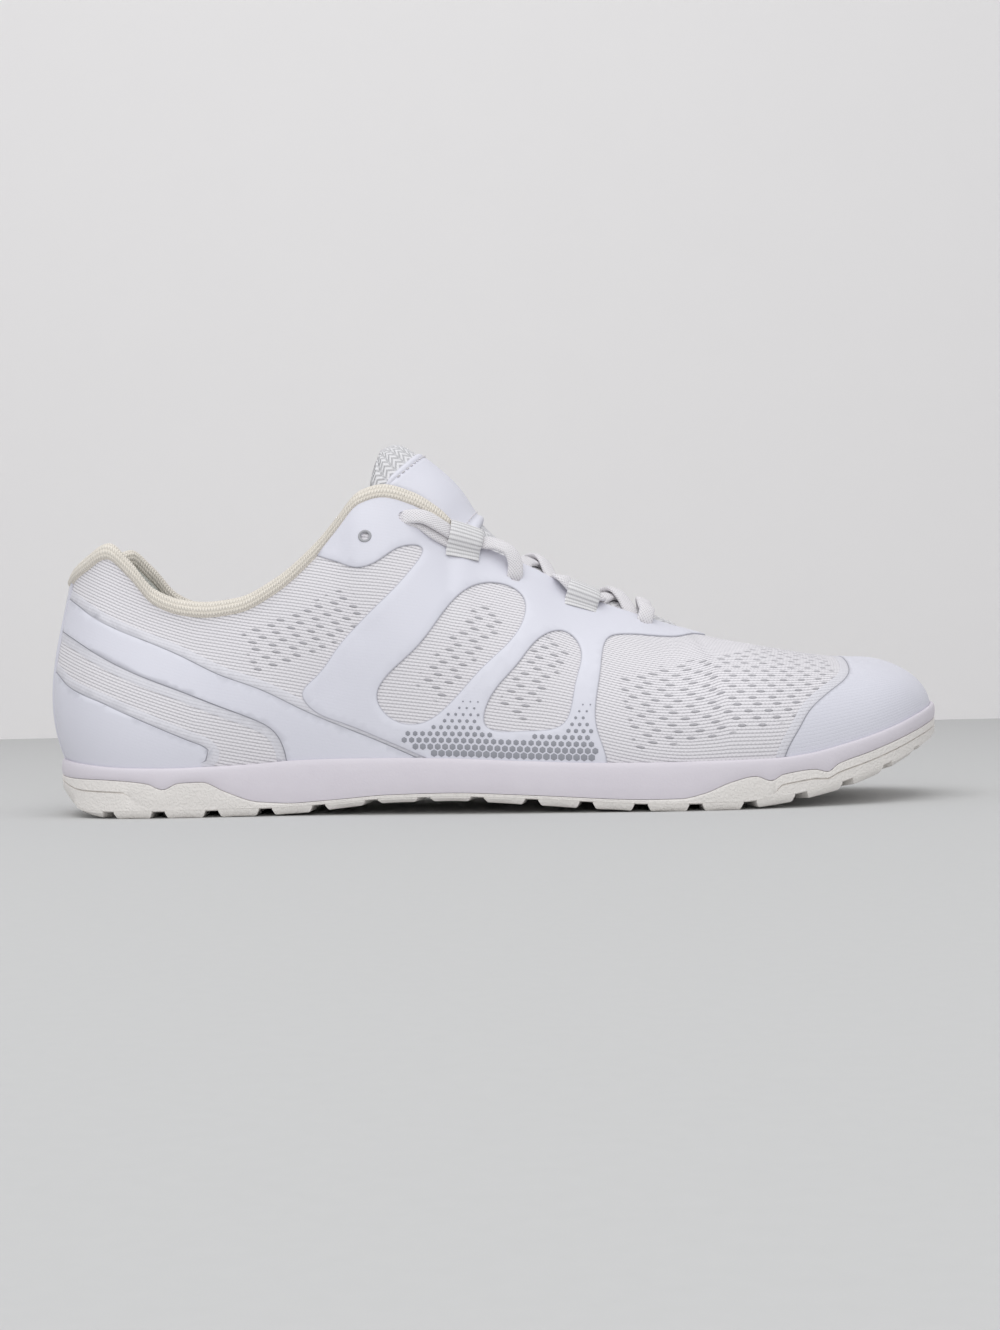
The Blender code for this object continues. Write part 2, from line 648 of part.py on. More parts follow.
def make_films(film):
    ahead, above, below = LENGTH, INSTEP_HEIGHT * 2, 0.0
    cap = smooth_line(CAP_EDGE)
    make_film("toe_cap", cap + [(ahead, below), (ahead, above), (cap[0][0], above)], film)
    make_film("heel_counter", smooth_line(COUNTER_TOP) + [(-ahead, below), (-ahead, above / 10)], film)
    top, low = smooth_line(BAND_TOP), smooth_line(BAND_LOW)
    make_film("heel_band", top + [(top[-1][0], below)] + low[::-1], film)
    strip = smooth_line(STRIP_EDGE)
    make_film("heel_strip", strip + [(-ahead, below), (-ahead, above)], film, 2 * GAP + FILM)
    rear, front = smooth_line(SADDLE_REAR), smooth_line(SADDLE_FRONT)
    eyestay = make_film("eyestay", rear + front + [(front[-1][0], above), (rear[0][0], above)], film)
    for number, window in enumerate(WINDOWS, 1):
        cutter = side_cutter("window_%d" % number, smooth_line(window, closed=True))
        boolean(eyestay, "DIFFERENCE", cutter)


def tube(frames, profile):
    """Closed body along frames of (place, across, up), with a flat cap at each end."""
    vertices = [place + across * a + up * b for place, across, up in frames for a, b in profile]
    count = len(profile)
    faces = [tuple(range(count)), tuple(range(len(vertices) - count, len(vertices)))]
    for k in range(len(frames) - 1):
        for i in range(count):
            j = (i + 1) % count
            faces.append((k * count + i, k * count + j, (k + 1) * count + j, (k + 1) * count + i))
    return vertices, faces


def oval(width, height, points=6):
    return [(width / 2 * math.cos(math.tau * i / points), height / 2 * math.sin(math.tau * i / points))
            for i in range(points)]


def make_binding(knit):
    frames = []
    for side, share in around_heel([s for s in open_shares() if s < BINDING_END]):
        edge = on_upper(side, share, 1.0)
        normal = (on_upper(side, share, 1.0, MM) - edge).normalized()
        up = edge - on_upper(side, share, 0.97)
        up = (up - normal * up.dot(normal)).normalized()
        height = BINDING_HEIGHT * binding_share(share)
        frames.append((edge + up * (GAP + height / 2) - normal * WALL / 2, normal * BINDING_THICKNESS / 2,
                       up * height / 2))
    return add_object("collar_binding", tube(frames, oval(2, 2)), knit)


def tucked_row(share, crown, low_rise, columns):
    """Points across the tongue under the throat's edges, on a smooth curve over its middle."""
    depth = -(WALL + 5 * GAP)
    rises = (low_rise, (low_rise + 1) / 2, 1.0)
    lateral = [on_upper(LATERAL, share, rise, depth) for rise in rises]
    medial = [on_upper(MEDIAL, share, rise, depth) for rise in reversed(rises)]
    top = top_point(LATERAL, share)
    line = lateral + [stand(Vector((top.x, 0, 0)), top.z + crown * COLLAR_WIDTH / 2)] + medial
    chord = np.concatenate([[0], np.cumsum([(b - a).length for a, b in zip(line, line[1:])])])
    at = [chord[-1] * (across + 1) / 2 for across in columns]
    axes = [natural_spline(chord, [point[i] for point in line], at) for i in range(3)]
    return [Vector(point) for point in zip(*axes)]


def free_row(along, height, half_width, back, drop, columns):
    """Points across the tongue where it stands free above the laces."""
    half = COLLAR_WIDTH / 2
    row = []
    for across in columns:
        bow = abs(across) ** 2.2 * half
        place = Vector((along * LENGTH - back * bow, across * half_width * half, 0))
        row.append(stand(place, height * INSTEP_HEIGHT - drop * bow))
    return row


def sheet_body(front, back):
    """Closed body between two equal grids of points."""
    count, width = len(front), len(front[0])
    vertices = [point for row in front + back for point in row]
    layer = count * width
    faces = []
    for r in range(count - 1):
        for c in range(width - 1):
            quad = (r * width + c, r * width + c + 1, (r + 1) * width + c + 1, (r + 1) * width + c)
            faces += [quad, tuple(layer + index for index in quad)]
    rim = list(range(width)) + [r * width + width - 1 for r in range(1, count)]
    rim += [(count - 1) * width + c for c in range(width - 2, -1, -1)]
    rim += [r * width for r in range(count - 2, 0, -1)]
    for a, b in zip(rim, rim[1:] + rim[:1]):
        faces.append((a, b, layer + b, layer + a))
    return vertices, faces


def inward_directions(rows):
    """Direction into the shoe at each point of a grid that runs upward and from side to side."""
    count, width = len(rows), len(rows[0])
    directions = []
    for r in range(count):
        along = [rows[min(r + 1, count - 1)][c] - rows[max(r - 1, 0)][c] for c in range(width)]
        over = [rows[r][min(c + 1, width - 1)] - rows[r][max(c - 1, 0)] for c in range(width)]
        directions.append([a.cross(o).normalized() for a, o in zip(along, over)])
    return directions


def shifted(rows, directions, distance):
    return [[point + way * distance(c) for c, (point, way) in enumerate(zip(row, ways))]
            for row, ways in zip(rows, directions)]


def make_tongue(knit, film):
    columns = even(-1, 1, 8)
    face = [tucked_row(*row, columns) for row in TUCKED_ROWS] + [free_row(*row, columns) for row in FREE_ROWS]
    def thickness(c):
        return TONGUE_THICKNESS * (1 - 0.5 * abs(columns[c]) ** 3)
    add_object("tongue", sheet_body(face, shifted(face, inward_directions(face), thickness)), knit)
    middle = [c for c, across in enumerate(columns) if abs(across) <= PATCH_WIDTH]
    first, last = (len(TUCKED_ROWS) + row for row in PATCH_ROWS)
    ways = inward_directions(face)
    patch = [[face[r][c] for c in middle] for r in range(first, last)]
    ways = [[ways[r][c] for c in middle] for r in range(first, last)]
    sheets = [shifted(patch, ways, lambda c, lift=lift: -lift) for lift in (GAP, GAP + FILM)]
    return add_object("tongue_patch", sheet_body(*sheets), film)


def tongue_middle():
    """Ridge of the tongue as (x, height) pairs from the throat's front to the free part."""
    ridge = [(top_point(LATERAL, share).x - LENGTH / 2, top_point(LATERAL, share).z + crown * COLLAR_WIDTH / 2)
             for share, crown, _ in TUCKED_ROWS]
    ridge += [(along * LENGTH - LENGTH / 2, height * INSTEP_HEIGHT) for along, height, *_ in FREE_ROWS]
    return sorted(ridge)


def over_tongue(x):
    places, heights = zip(*tongue_middle())
    return Vector((x, 0, np.interp(x, places, heights) + LACE_LIFT + LACE_THICKNESS / 2))


def loop_frames(side, share):
    """Sections of a webbing loop from its root on the eyestay to its end over the tongue."""
    lift = 2 * GAP + FILM + LOOP_THICKNESS / 2
    root = on_upper(side, share, LOOP_ROOT, lift)
    edge = on_upper(side, share, 1.0, lift)
    slope = (edge - root).normalized()
    tip = edge + (slope * 0.8 + Vector((0, -side * 0.6, 0))).normalized() * LOOP_REACH
    frames = []
    for place, ahead in ((root, slope), (edge, slope), (tip, (tip - edge).normalized())):
        up = on_upper(side, share, 1.0, MM) - on_upper(side, share, 1.0)
        up = (up - ahead * up.dot(ahead)).normalized()
        frames.append((place, up.cross(ahead) * LOOP_WIDTH / 2, up * LOOP_THICKNESS / 2))
    return frames


def make_loops(webbing):
    square = ((-1, -1), (1, -1), (1, 1), (-1, 1))
    for side, word in ((LATERAL, "lateral"), (MEDIAL, "medial")):
        for name, share in LOOPS.items():
            add_object("loop_%s_%s" % (name, word), tube(loop_frames(side, share), square), webbing)


def lace_holder(side, name):
    """Middle of the lace where a holder takes it."""
    if name in LOOPS:
        place, _, up = loop_frames(side, LOOPS[name])[2]
        return place + up + up.normalized() * (GAP + LACE_THICKNESS / 2)
    return on_upper(side, *EYELETS[name], FILM + 2 * LACE_LIFT + LACE_THICKNESS / 2)


def lace_span(start, end):
    """Points of the lace from one holder to the next, arched over the tongue between them."""
    middle = over_tongue((start.x + end.x) / 2)
    points = [start]
    for share in (0.25, 0.5, 0.75):
        chord = start.lerp(end, share)
        arch = 1 - (2 * share - 1) ** 2
        points.append(Vector((chord.x, chord.y, chord.z + (middle.z - (start.z + end.z) / 2) * arch)))
    return points


def lace_tube(points, steps=2):
    """Flat lace on a smooth curve through its points."""
    chord = np.concatenate([[0], np.cumsum([(b - a).length for a, b in zip(points, points[1:])])])
    at = [blend(chord[k], chord[k + 1], i / steps) for k in range(len(points) - 1) for i in range(steps)]
    at.append(chord[-1])
    line = [Vector(place) for place in zip(*(natural_spline(chord, [p[i] for p in points], at) for i in range(3)))]
    frames = []
    for k, place in enumerate(line):
        ahead = (line[min(k + 1, len(line) - 1)] - line[max(k - 1, 0)]).normalized()
        across = ahead.cross(Vector((0.35, place.y * 2.4 / COLLAR_WIDTH, 1))).normalized()
        frames.append((place, across * LACE_WIDTH / 2, across.cross(ahead) * LACE_THICKNESS / 2))
    return tube(frames, oval(2, 2))


def make_lace(cloth):
    """The front bar and two strands that cross over the tongue, joined into one body."""
    front = [lace_holder(LATERAL, "front"), lace_holder(MEDIAL, "front")]
    lace = add_object("lace", lace_tube(lace_span(*front) + [front[1]]), cloth)
    for side in (LATERAL, MEDIAL):
        names = ("front", "low", "middle", "high")
        ends = [lace_holder(side * (-1) ** k, name) for k, name in enumerate(names)]
        points = []
        for start, end in zip(ends, ends[1:]):
            points += lace_span(start, end)
        points += [ends[-1], lace_holder(-side, "top")]
        strand = add_object("strand_%s" % ("a" if side == LATERAL else "b"), lace_tube(points), cloth)
        strand.hide_render = True
        strand.display_type = "WIRE"
        boolean(lace, "UNION", strand)
    return lace


def main():
    for item in list(bpy.data.objects):
        bpy.data.objects.remove(item)
    film = material("film", (0.68, 0.70, 0.78), 0.38)
    mesh_cloth = material("mesh", (0.66, 0.65, 0.68), 0.85)
    knit = material("knit", (0.74, 0.69, 0.60), 0.9)
    lining = material("lining", (0.55, 0.56, 0.52), 0.9)
    webbing = material("webbing", (0.66, 0.65, 0.67), 0.85)
    lace_cloth = material("lace", (0.70, 0.67, 0.71), 0.85)
    foam = material("foam", (0.64, 0.61, 0.66), 0.6)
    rubber = material("rubber", (0.68, 0.65, 0.62), 0.55)
    make_outsole(rubber)
    make_midsole(foam)
    make_insole(lining)
    make_upper(mesh_cloth)
    make_films(film)
    make_binding(knit)
    make_tongue(knit, film)
    make_loops(webbing)
    make_lace(lace_cloth)


main()
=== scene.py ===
"""Looks of the low barefoot running shoe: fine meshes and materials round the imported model.

The toe points to +X, the lateral side faces -Y, and the floor is at Z = 0. The first tables repeat
the model's own source, so that the fine pieces lie where its solids are.
"""
import math

import bpy
import numpy as np
from mathutils import Matrix, Vector
from mathutils.geometry import delaunay_2d_cdt


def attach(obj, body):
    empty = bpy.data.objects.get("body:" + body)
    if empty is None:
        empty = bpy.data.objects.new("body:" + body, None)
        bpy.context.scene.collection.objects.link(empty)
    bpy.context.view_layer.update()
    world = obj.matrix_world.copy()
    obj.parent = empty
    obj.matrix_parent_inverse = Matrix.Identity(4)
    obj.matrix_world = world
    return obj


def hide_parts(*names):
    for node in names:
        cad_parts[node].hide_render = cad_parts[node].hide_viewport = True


MM = 0.001
LATERAL, MEDIAL = -1, 1
SIDES = (LATERAL, MEDIAL)
UP = np.array((0.0, 0.0, 1.0))

# Driving sizes of the whole shoe
LENGTH = 290 * MM
BALL_WIDTH = 108 * MM
HEEL_WIDTH = 76 * MM
SOLE_EDGE = 16 * MM
TOE_SPRING = 20.5 * MM
INSTEP_HEIGHT = 104 * MM
COLLAR_WIDTH = 60 * MM

# Walls, layers and clearances
GAP = 0.3 * MM
WALL = 2.0 * MM
RAND = 1.4 * MM
TUCK = 2.8 * MM
RUBBER = 1.2 * MM
LUG_HEIGHT = 2.0 * MM
RIM = 1.8 * MM
INSOLE = 3.0 * MM
BINDING_HEIGHT = 4.6 * MM
BINDING_THICKNESS = 3.6 * MM
LEDGE = RAND + WALL + 3 * GAP
TONGUE_THICKNESS = 3.0 * MM
LACE_WIDTH = 5.2 * MM
LACE_THICKNESS = 1.7 * MM
LACE_HALF = LACE_THICKNESS / 2
MESH_THICKNESS = 1.2 * MM
LINING_DEPTH = 1.25 * MM
ANKLE_PADDING = 2.4 * MM
FILM_UNDERSIDE = 0.02 * MM
TRAY_SLOPE = 0.2 * MM
BEAD_SWELL = 0.45 * MM
BEAD_THICKENING = 0.35 * MM

# Shares of the feather line, from heel to toe; the padding and the ribs change between two shares
VAMP_POINT = 0.69
BINDING_END = 0.45
HEEL_DIP = 0.027
STRIP_SHARE = 0.040
PADDING_FADE = (0.42, 0.30)
RIBS_CHANGE = (0.52, 0.66)

# How finely the outline is traced and the step over which directions are read
TRACE_POINTS = 801
NORMAL_STEP = 0.004

# Stretch where the sole widens from heel to ball, as shares of LENGTH
WIDENING = (0.31, 0.45)

# Plan outline of the sole: along as a share of LENGTH, across as a share of the local width
OUTLINE = (
    (0.0086, 0.0), (0.024, -0.27), (0.069, -0.44), (0.155, -0.50), (0.31, -0.515), (0.45, -0.43),
    (0.57, -0.47), (0.68, -0.50), (0.78, -0.478), (0.865, -0.40), (0.935, -0.275), (0.982, -0.10),
    (1.0, 0.10), (0.985, 0.275), (0.935, 0.405), (0.85, 0.475), (0.745, 0.50), (0.63, 0.465),
    (0.52, 0.392), (0.40, 0.403), (0.28, 0.455), (0.155, 0.485), (0.069, 0.43), (0.024, 0.265),
)
TOE_ROW = 12

# Heights along the sole: tread tips and lug depth, then rubber rim, midsole edge and footbed
# along, tips / TOE_SPRING, lugs / LUG_HEIGHT, rim, edge and bed / SOLE_EDGE
SOLE_NAMES = ("along", "tips", "lugs", "rim", "edge", "bed")
SOLE_ROWS = (
    (0.000, 0.560, 0.00, 0.875, 1.175, 0.930),
    (0.020, 0.370, 0.00, 0.812, 1.137, 0.700),
    (0.040, 0.127, 0.25, 0.781, 1.087, 0.610),
    (0.065, 0.029, 0.75, 0.769, 1.037, 0.585),
    (0.090, 0.000, 1.00, 0.744, 1.000, 0.580),
    (0.120, 0.000, 1.00, 0.681, 0.981, 0.580),
    (0.138, 0.000, 1.00, 0.560, 0.975, 0.580),
    (0.155, 0.000, 1.00, 0.681, 0.975, 0.580),
    (0.180, 0.000, 1.00, 0.694, 0.987, 0.585),
    (0.205, 0.005, 1.00, 0.500, 1.000, 0.590),
    (0.240, 0.015, 1.00, 0.290, 1.030, 0.600),
    (0.280, 0.035, 1.00, 0.250, 1.080, 0.620),
    (0.330, 0.105, 0.80, 0.300, 1.100, 0.650),
    (0.380, 0.180, 0.60, 0.350, 1.100, 0.680),
    (0.450, 0.200, 0.60, 0.365, 1.075, 0.690),
    (0.520, 0.140, 0.80, 0.325, 1.010, 0.640),
    (0.600, 0.055, 1.00, 0.270, 0.950, 0.580),
    (0.660, 0.010, 1.00, 0.235, 0.937, 0.560),
    (0.690, 0.000, 1.00, 0.240, 0.937, 0.555),
    (0.715, 0.000, 1.00, 0.330, 0.944, 0.555),
    (0.745, 0.000, 1.00, 0.537, 0.950, 0.560),
    (0.770, 0.025, 1.00, 0.631, 0.956, 0.575),
    (0.787, 0.048, 1.00, 0.537, 0.962, 0.590),
    (0.800, 0.073, 1.00, 0.650, 0.975, 0.605),
    (0.835, 0.156, 1.00, 0.725, 1.050, 0.680),
    (0.850, 0.200, 1.00, 0.669, 1.106, 0.730),
    (0.862, 0.239, 1.00, 0.812, 1.156, 0.780),
    (0.900, 0.400, 0.90, 1.019, 1.325, 0.980),
    (0.935, 0.595, 0.70, 1.225, 1.519, 1.190),
    (0.965, 0.790, 0.50, 1.412, 1.712, 1.430),
    (1.000, 1.000, 0.10, 1.625, 1.937, 1.720),
)

# Top line of the upper, by share of the feather line: the collar's binding down to the throat,
# then the ridge of the vamp. along / LENGTH, across / half COLLAR_WIDTH, height / INSTEP_HEIGHT
TOP_NAMES = ("share", "along", "across", "height")
TOP_ROWS = (
    (0.000, 0.019, 0.000, 0.726),
    (0.040, 0.029, 0.320, 0.756),
    (0.075, 0.052, 0.590, 0.806),
    (0.105, 0.076, 0.730, 0.840),
    (0.130, 0.100, 0.810, 0.784),
    (0.160, 0.128, 0.880, 0.696),
    (0.190, 0.159, 0.935, 0.661),
    (0.215, 0.186, 0.970, 0.652),
    (0.245, 0.221, 1.000, 0.663),
    (0.280, 0.262, 1.010, 0.719),
    (0.315, 0.303, 0.980, 0.817),
    (0.340, 0.331, 0.920, 0.909),
    (0.362, 0.355, 0.915, 0.985),
    (0.385, 0.379, 0.880, 1.004),
    (0.415, 0.410, 0.820, 0.981),
    (0.440, 0.438, 0.770, 0.933),
    (0.460, 0.457, 0.735, 0.879),
    (0.480, 0.480, 0.690, 0.815),
    (0.510, 0.511, 0.645, 0.772),
    (0.540, 0.545, 0.610, 0.730),
    (0.570, 0.579, 0.575, 0.676),
    (0.600, 0.614, 0.545, 0.627),
    (0.630, 0.648, 0.500, 0.593),
    (0.655, 0.679, 0.410, 0.565),
    (0.672, 0.700, 0.280, 0.547),
    (0.684, 0.712, 0.130, 0.540),
    (0.690, 0.717, 0.000, 0.537),
    (0.720, 0.739, -0.015, 0.518),
    (0.760, 0.771, -0.060, 0.496),
    (0.800, 0.803, -0.120, 0.477),
    (0.850, 0.838, -0.190, 0.458),
    (0.900, 0.869, -0.260, 0.446),
    (0.950, 0.893, -0.310, 0.440),
    (1.000, 0.910, -0.340, 0.440),
)

# Fullness of the upper's sections, by share of the feather line: the lean of the wall at the
# sole and its dip at the top in degrees, and the reach of both as shares of the section's chord
SECTION_NAMES = ("share", "lean", "low_reach", "dip", "top_reach")
SECTION_ROWS = (
    (0.00, 24.0, 0.38, 78.0, 0.30),
    (0.05, 22.0, 0.37, 78.0, 0.30),
    (0.10, 16.0, 0.36, 76.0, 0.30),
    (0.20, 9.0, 0.34, 72.0, 0.30),
    (0.30, 7.0, 0.32, 68.0, 0.32),
    (0.36, 4.0, 0.30, 64.0, 0.34),
    (0.42, 2.0, 0.32, 58.0, 0.35),
    (0.46, 1.0, 0.32, 52.0, 0.36),
    (0.50, 1.0, 0.33, 46.0, 0.36),
    (0.55, 2.0, 0.34, 40.0, 0.36),
    (0.60, 4.0, 0.36, 33.0, 0.36),
    (0.65, 6.0, 0.38, 22.0, 0.38),
    (0.69, 7.0, 0.38, 4.0, 0.42),
    (0.75, 6.0, 0.38, 0.0, 0.46),
    (0.85, 2.0, 0.36, 0.0, 0.46),
    (0.95, -5.0, 0.32, 0.0, 0.45),
    (1.00, -8.0, 0.30, 0.0, 0.45),
)

# Edges of the film overlays in side view: along / LENGTH, height / INSTEP_HEIGHT
CAP_EDGE = (
    (0.889, 0.470), (0.889, 0.436), (0.886, 0.395), (0.876, 0.365), (0.862, 0.342), (0.845, 0.313),
    (0.831, 0.280), (0.821, 0.239), (0.810, 0.192), (0.803, 0.149), (0.800, 0.050),
)
BAND_TOP = (
    (-0.020, 0.720), (0.024, 0.672), (0.066, 0.601), (0.114, 0.538), (0.159, 0.484), (0.200, 0.427),
    (0.245, 0.380), (0.286, 0.323), (0.331, 0.267), (0.372, 0.220), (0.414, 0.167), (0.450, 0.120),
    (0.500, 0.055),
)
BAND_LOW = (
    (-0.020, 0.610), (0.024, 0.562), (0.066, 0.496), (0.114, 0.429), (0.159, 0.379), (0.200, 0.332),
    (0.238, 0.290), (0.259, 0.253), (0.269, 0.200), (0.270, 0.050),
)
COUNTER_TOP = (
    (-0.020, 0.470), (0.010, 0.443), (0.024, 0.412), (0.062, 0.362), (0.103, 0.310), (0.148, 0.254),
    (0.172, 0.226), (0.186, 0.206), (0.190, 0.190), (0.184, 0.170), (0.170, 0.050),
)
SADDLE_REAR = (
    (0.290, 0.860), (0.303, 0.790), (0.325, 0.766), (0.352, 0.742), (0.376, 0.764), (0.402, 0.805),
    (0.421, 0.800), (0.411, 0.740), (0.368, 0.615), (0.328, 0.497), (0.304, 0.413), (0.290, 0.365),
    (0.298, 0.324), (0.331, 0.277), (0.372, 0.230), (0.414, 0.178), (0.450, 0.131), (0.500, 0.066),
)
SADDLE_FRONT = (
    (0.617, 0.050), (0.612, 0.180), (0.604, 0.256), (0.606, 0.350), (0.612, 0.440), (0.622, 0.515),
    (0.640, 0.524), (0.665, 0.520), (0.690, 0.512), (0.712, 0.510), (0.725, 0.512), (0.735, 0.540),
)
WINDOWS = (
    ((0.385, 0.290), (0.372, 0.340), (0.412, 0.490), (0.452, 0.630), (0.482, 0.686), (0.531, 0.636),
     (0.527, 0.560), (0.487, 0.440), (0.446, 0.320), (0.418, 0.272)),
    ((0.486, 0.268), (0.490, 0.330), (0.522, 0.440), (0.548, 0.520), (0.575, 0.536), (0.589, 0.495),
     (0.583, 0.380), (0.570, 0.265), (0.528, 0.243)),
)

# Grey halftone on the saddle: rows up from the sole and how far each row reaches along / LENGTH
HALFTONE_PITCH = 2.3 * MM
HALFTONE_ROWS = 9
HALFTONE_REACH = (0.400, 0.606)
HALFTONE_START = 1.6 * MM
HALFTONE_MARGIN = 1.7 * MM

# Height of a row of a triangular grid as a share of its spacing
ROW_STEP = 0.87

# Cell of the halftone: its seat over the saddle, then each ring's share of the radius and its height
CELL_SEAT = 0.34 * MM
CELL_RINGS = ((1.0, -0.10 * MM), (1.0, 0.10 * MM), (0.82, 0.15 * MM))

# Tongue where it lies in the throat, by share of the feather line: how far its middle stands over
# the throat's edges / half COLLAR_WIDTH, and how low its own edges reach under the upper
TUCKED_ROWS = (
    (0.705, -0.130, 0.88), (0.680, 0.020, 0.93), (0.660, 0.080, 0.90), (0.635, 0.105, 0.86),
    (0.605, 0.100, 0.84), (0.575, 0.090, 0.83), (0.545, 0.080, 0.82), (0.520, 0.130, 0.83),
    (0.500, 0.220, 0.85),
)
# Tongue where it stands free: its middle as along / LENGTH and height / INSTEP_HEIGHT, then the
# half width, set back and drop of its edge / half COLLAR_WIDTH
FREE_ROWS = (
    (0.478, 0.915, 0.62, 0.22, 0.36),
    (0.462, 0.985, 0.60, 0.26, 0.34),
    (0.440, 1.050, 0.58, 0.30, 0.34),
    (0.414, 1.110, 0.60, 0.48, 0.42),
    (0.391, 1.143, 0.59, 0.42, 0.46),
    (0.374, 1.128, 0.57, 0.36, 0.50),
)

# Eyelets in side view: along / LENGTH, height / INSTEP_HEIGHT; webbing loops by share of the
# feather line; alike on both sides
EYELETS = {"front": (0.664, 0.562), "middle": (0.521, 0.705), "top": (0.402, 0.893), "spare": (0.360, 0.836)}
LOOPS = {"low": 0.583, "high": 0.468}
LOOP_ROOT = 0.90
LOOP_WIDTH = 11.0 * MM
LOOP_THICKNESS = 0.9 * MM
EYELET_RADII = {"spare": 1.5 * MM, "top": 2.0 * MM, "middle": 2.0 * MM, "front": 2.0 * MM}

# Ring round the spare eyelet
RING_SEAT = 0.30 * MM
RING_RADIUS = 1.7 * MM
RING_HALF_WIDTH = 0.45 * MM
RING_HALF_HEIGHT = 0.35 * MM

# The lace through a low loop: ahead of the loop's share, rise, and clearance from the upper in millimetres
LOW_LOOP_WAY = ((0.014, 1.0, 1.8), (0.004, 0.975, 1.0), (-0.006, 0.965, 1.0), (-0.020, 0.985, 2.4))

# Soft troughs pressed into the upper, in side view: from and to as along / LENGTH and
# height / INSTEP_HEIGHT, half width and depth in millimetres
CREASES = (
    (0.700, 0.480, 0.660, 0.280, 7.0, 0.50),
    (0.745, 0.450, 0.735, 0.330, 8.0, 0.35),
    (0.330, 0.800, 0.352, 0.560, 6.0, 0.55),
    (0.255, 0.600, 0.300, 0.380, 9.0, 0.45),
    (0.130, 0.640, 0.175, 0.520, 8.0, 0.35),
    (0.640, 0.300, 0.700, 0.190, 9.0, 0.35),
    (0.430, 0.800, 0.470, 0.660, 6.0, 0.35),
    (0.560, 0.640, 0.590, 0.520, 7.0, 0.30),
)

# Nominal length of the feather line and height of the side, for flat drawing on the upper
RUN = 330 * MM
RISE = 80 * MM
VAMP_ARC = 66 * MM

# Slant of the mesh's ribs: place along the shoe and the rise that they lose up to there, in mm
RIB_SLANT = ((-10, 0), (0, 0), (50, 17), (100, 29), (150, 34), (200, 37), (300, 42))

# Areas with vents in side view: middle along / LENGTH and height / INSTEP_HEIGHT, half length and
# half height in millimetres, slope in degrees
VENT_AREAS = (
    (0.292, 0.555, 19.0, 7.5, 22.0),
    (0.462, 0.485, 17.0, 5.5, 50.0),
    (0.540, 0.400, 13.0, 5.5, 56.0),
    (0.752, 0.345, 34.0, 12.0, 10.0),
)


def spline(knots, values, at):
    """Natural cubic curve through the values, read at the given places."""
    knots, values, at = (np.asarray(item, dtype=float) for item in (knots, values, at))
    steps = np.diff(knots)
    count = len(knots)
    matrix, right = np.eye(count), np.zeros(values.shape)
    for i in range(1, count - 1):
        matrix[i, i - 1:i + 2] = steps[i - 1], 2 * (steps[i - 1] + steps[i]), steps[i]
        right[i] = 6 * ((values[i + 1] - values[i]) / steps[i] - (values[i] - values[i - 1]) / steps[i - 1])
    bend = np.linalg.solve(matrix, right)
    k = np.clip(np.searchsorted(knots, at) - 1, 0, count - 2)
    d, h = at - knots[k], steps[k]
    if values.ndim == 2:
        d, h = d[:, None], h[:, None]
    slope = (values[k + 1] - values[k]) / h - h * (2 * bend[k] + bend[k + 1]) / 6
    return values[k] + d * slope + d * d * bend[k] / 2 + d ** 3 * (bend[k + 1] - bend[k]) / (6 * h)


def chords(points):
    """Length of a line of points up to each of them."""
    return np.concatenate([[0], np.cumsum(np.linalg.norm(np.diff(points, axis=0), axis=1))])


def hermite(start, end, start_slope, end_slope, step, t):
    """Cubic from one value to the next with the given slopes."""
    return (start * (1 + 2 * t) * (1 - t) ** 2 + start_slope * step * t * (1 - t) ** 2
            + end * t * t * (3 - 2 * t) + end_slope * step * t * t * (t - 1))


class Table:
    """Rows of named columns, read smoothly between rows and never past a row's own values."""

    def __init__(self, names, rows):
        grid = np.array(rows, dtype=float)
        self.keys = grid[:, 0]
        self.columns = {name: grid[:, i] for i, name in enumerate(names)}
        self.slopes = {name: self.gentle_slopes(values) for name, values in self.columns.items()}

    def gentle_slopes(self, values):
        rises = np.diff(values) / np.diff(self.keys)
        before, after = rises[:-1], rises[1:]
        same = before * after > 0
        middle = np.where(same, 2 * before * after / np.where(same, before + after, 1), 0.0)
        return np.concatenate([rises[:1], middle, rises[-1:]])

    def at(self, name, key):
        key = np.clip(key, self.keys[0], self.keys[-1])
        k = np.clip(np.searchsorted(self.keys, key) - 1, 0, len(self.keys) - 2)
        step = self.keys[k + 1] - self.keys[k]
        t = (key - self.keys[k]) / step
        values, slopes = self.columns[name], self.slopes[name]
        return hermite(values[k], values[k + 1], slopes[k], slopes[k + 1], step, t)


def blend(a, b, t):
    return a + (b - a) * t


def soft_step(value, low, high):
    t = np.clip((np.asarray(value, dtype=float) - low) / (high - low), 0.0, 1.0)
    return t * t * (3 - 2 * t)


def unit(vectors):
    return vectors / np.maximum(np.linalg.norm(vectors, axis=-1, keepdims=True), 1e-12)


def paired(share, rise):
    """Shares and rises as float arrays of one shape."""
    return np.broadcast_arrays(np.asarray(share, dtype=float), np.asarray(rise, dtype=float))


def read_grid(grid, row, column):
    """Values of a grid between its rows and columns."""
    i = np.clip(row.astype(int), 0, grid.shape[0] - 2)
    j = np.clip(column.astype(int), 0, grid.shape[1] - 2)
    p, q = (row - i)[..., None], (column - j)[..., None]
    return ((grid[i, j] * (1 - p) + grid[i + 1, j] * p) * (1 - q)
            + (grid[i, j + 1] * (1 - p) + grid[i + 1, j + 1] * p) * q)


def side_view(points):
    """Side-view places in metres, from shares of LENGTH and INSTEP_HEIGHT."""
    return np.array(points) * (LENGTH, INSTEP_HEIGHT) - (LENGTH / 2, 0)


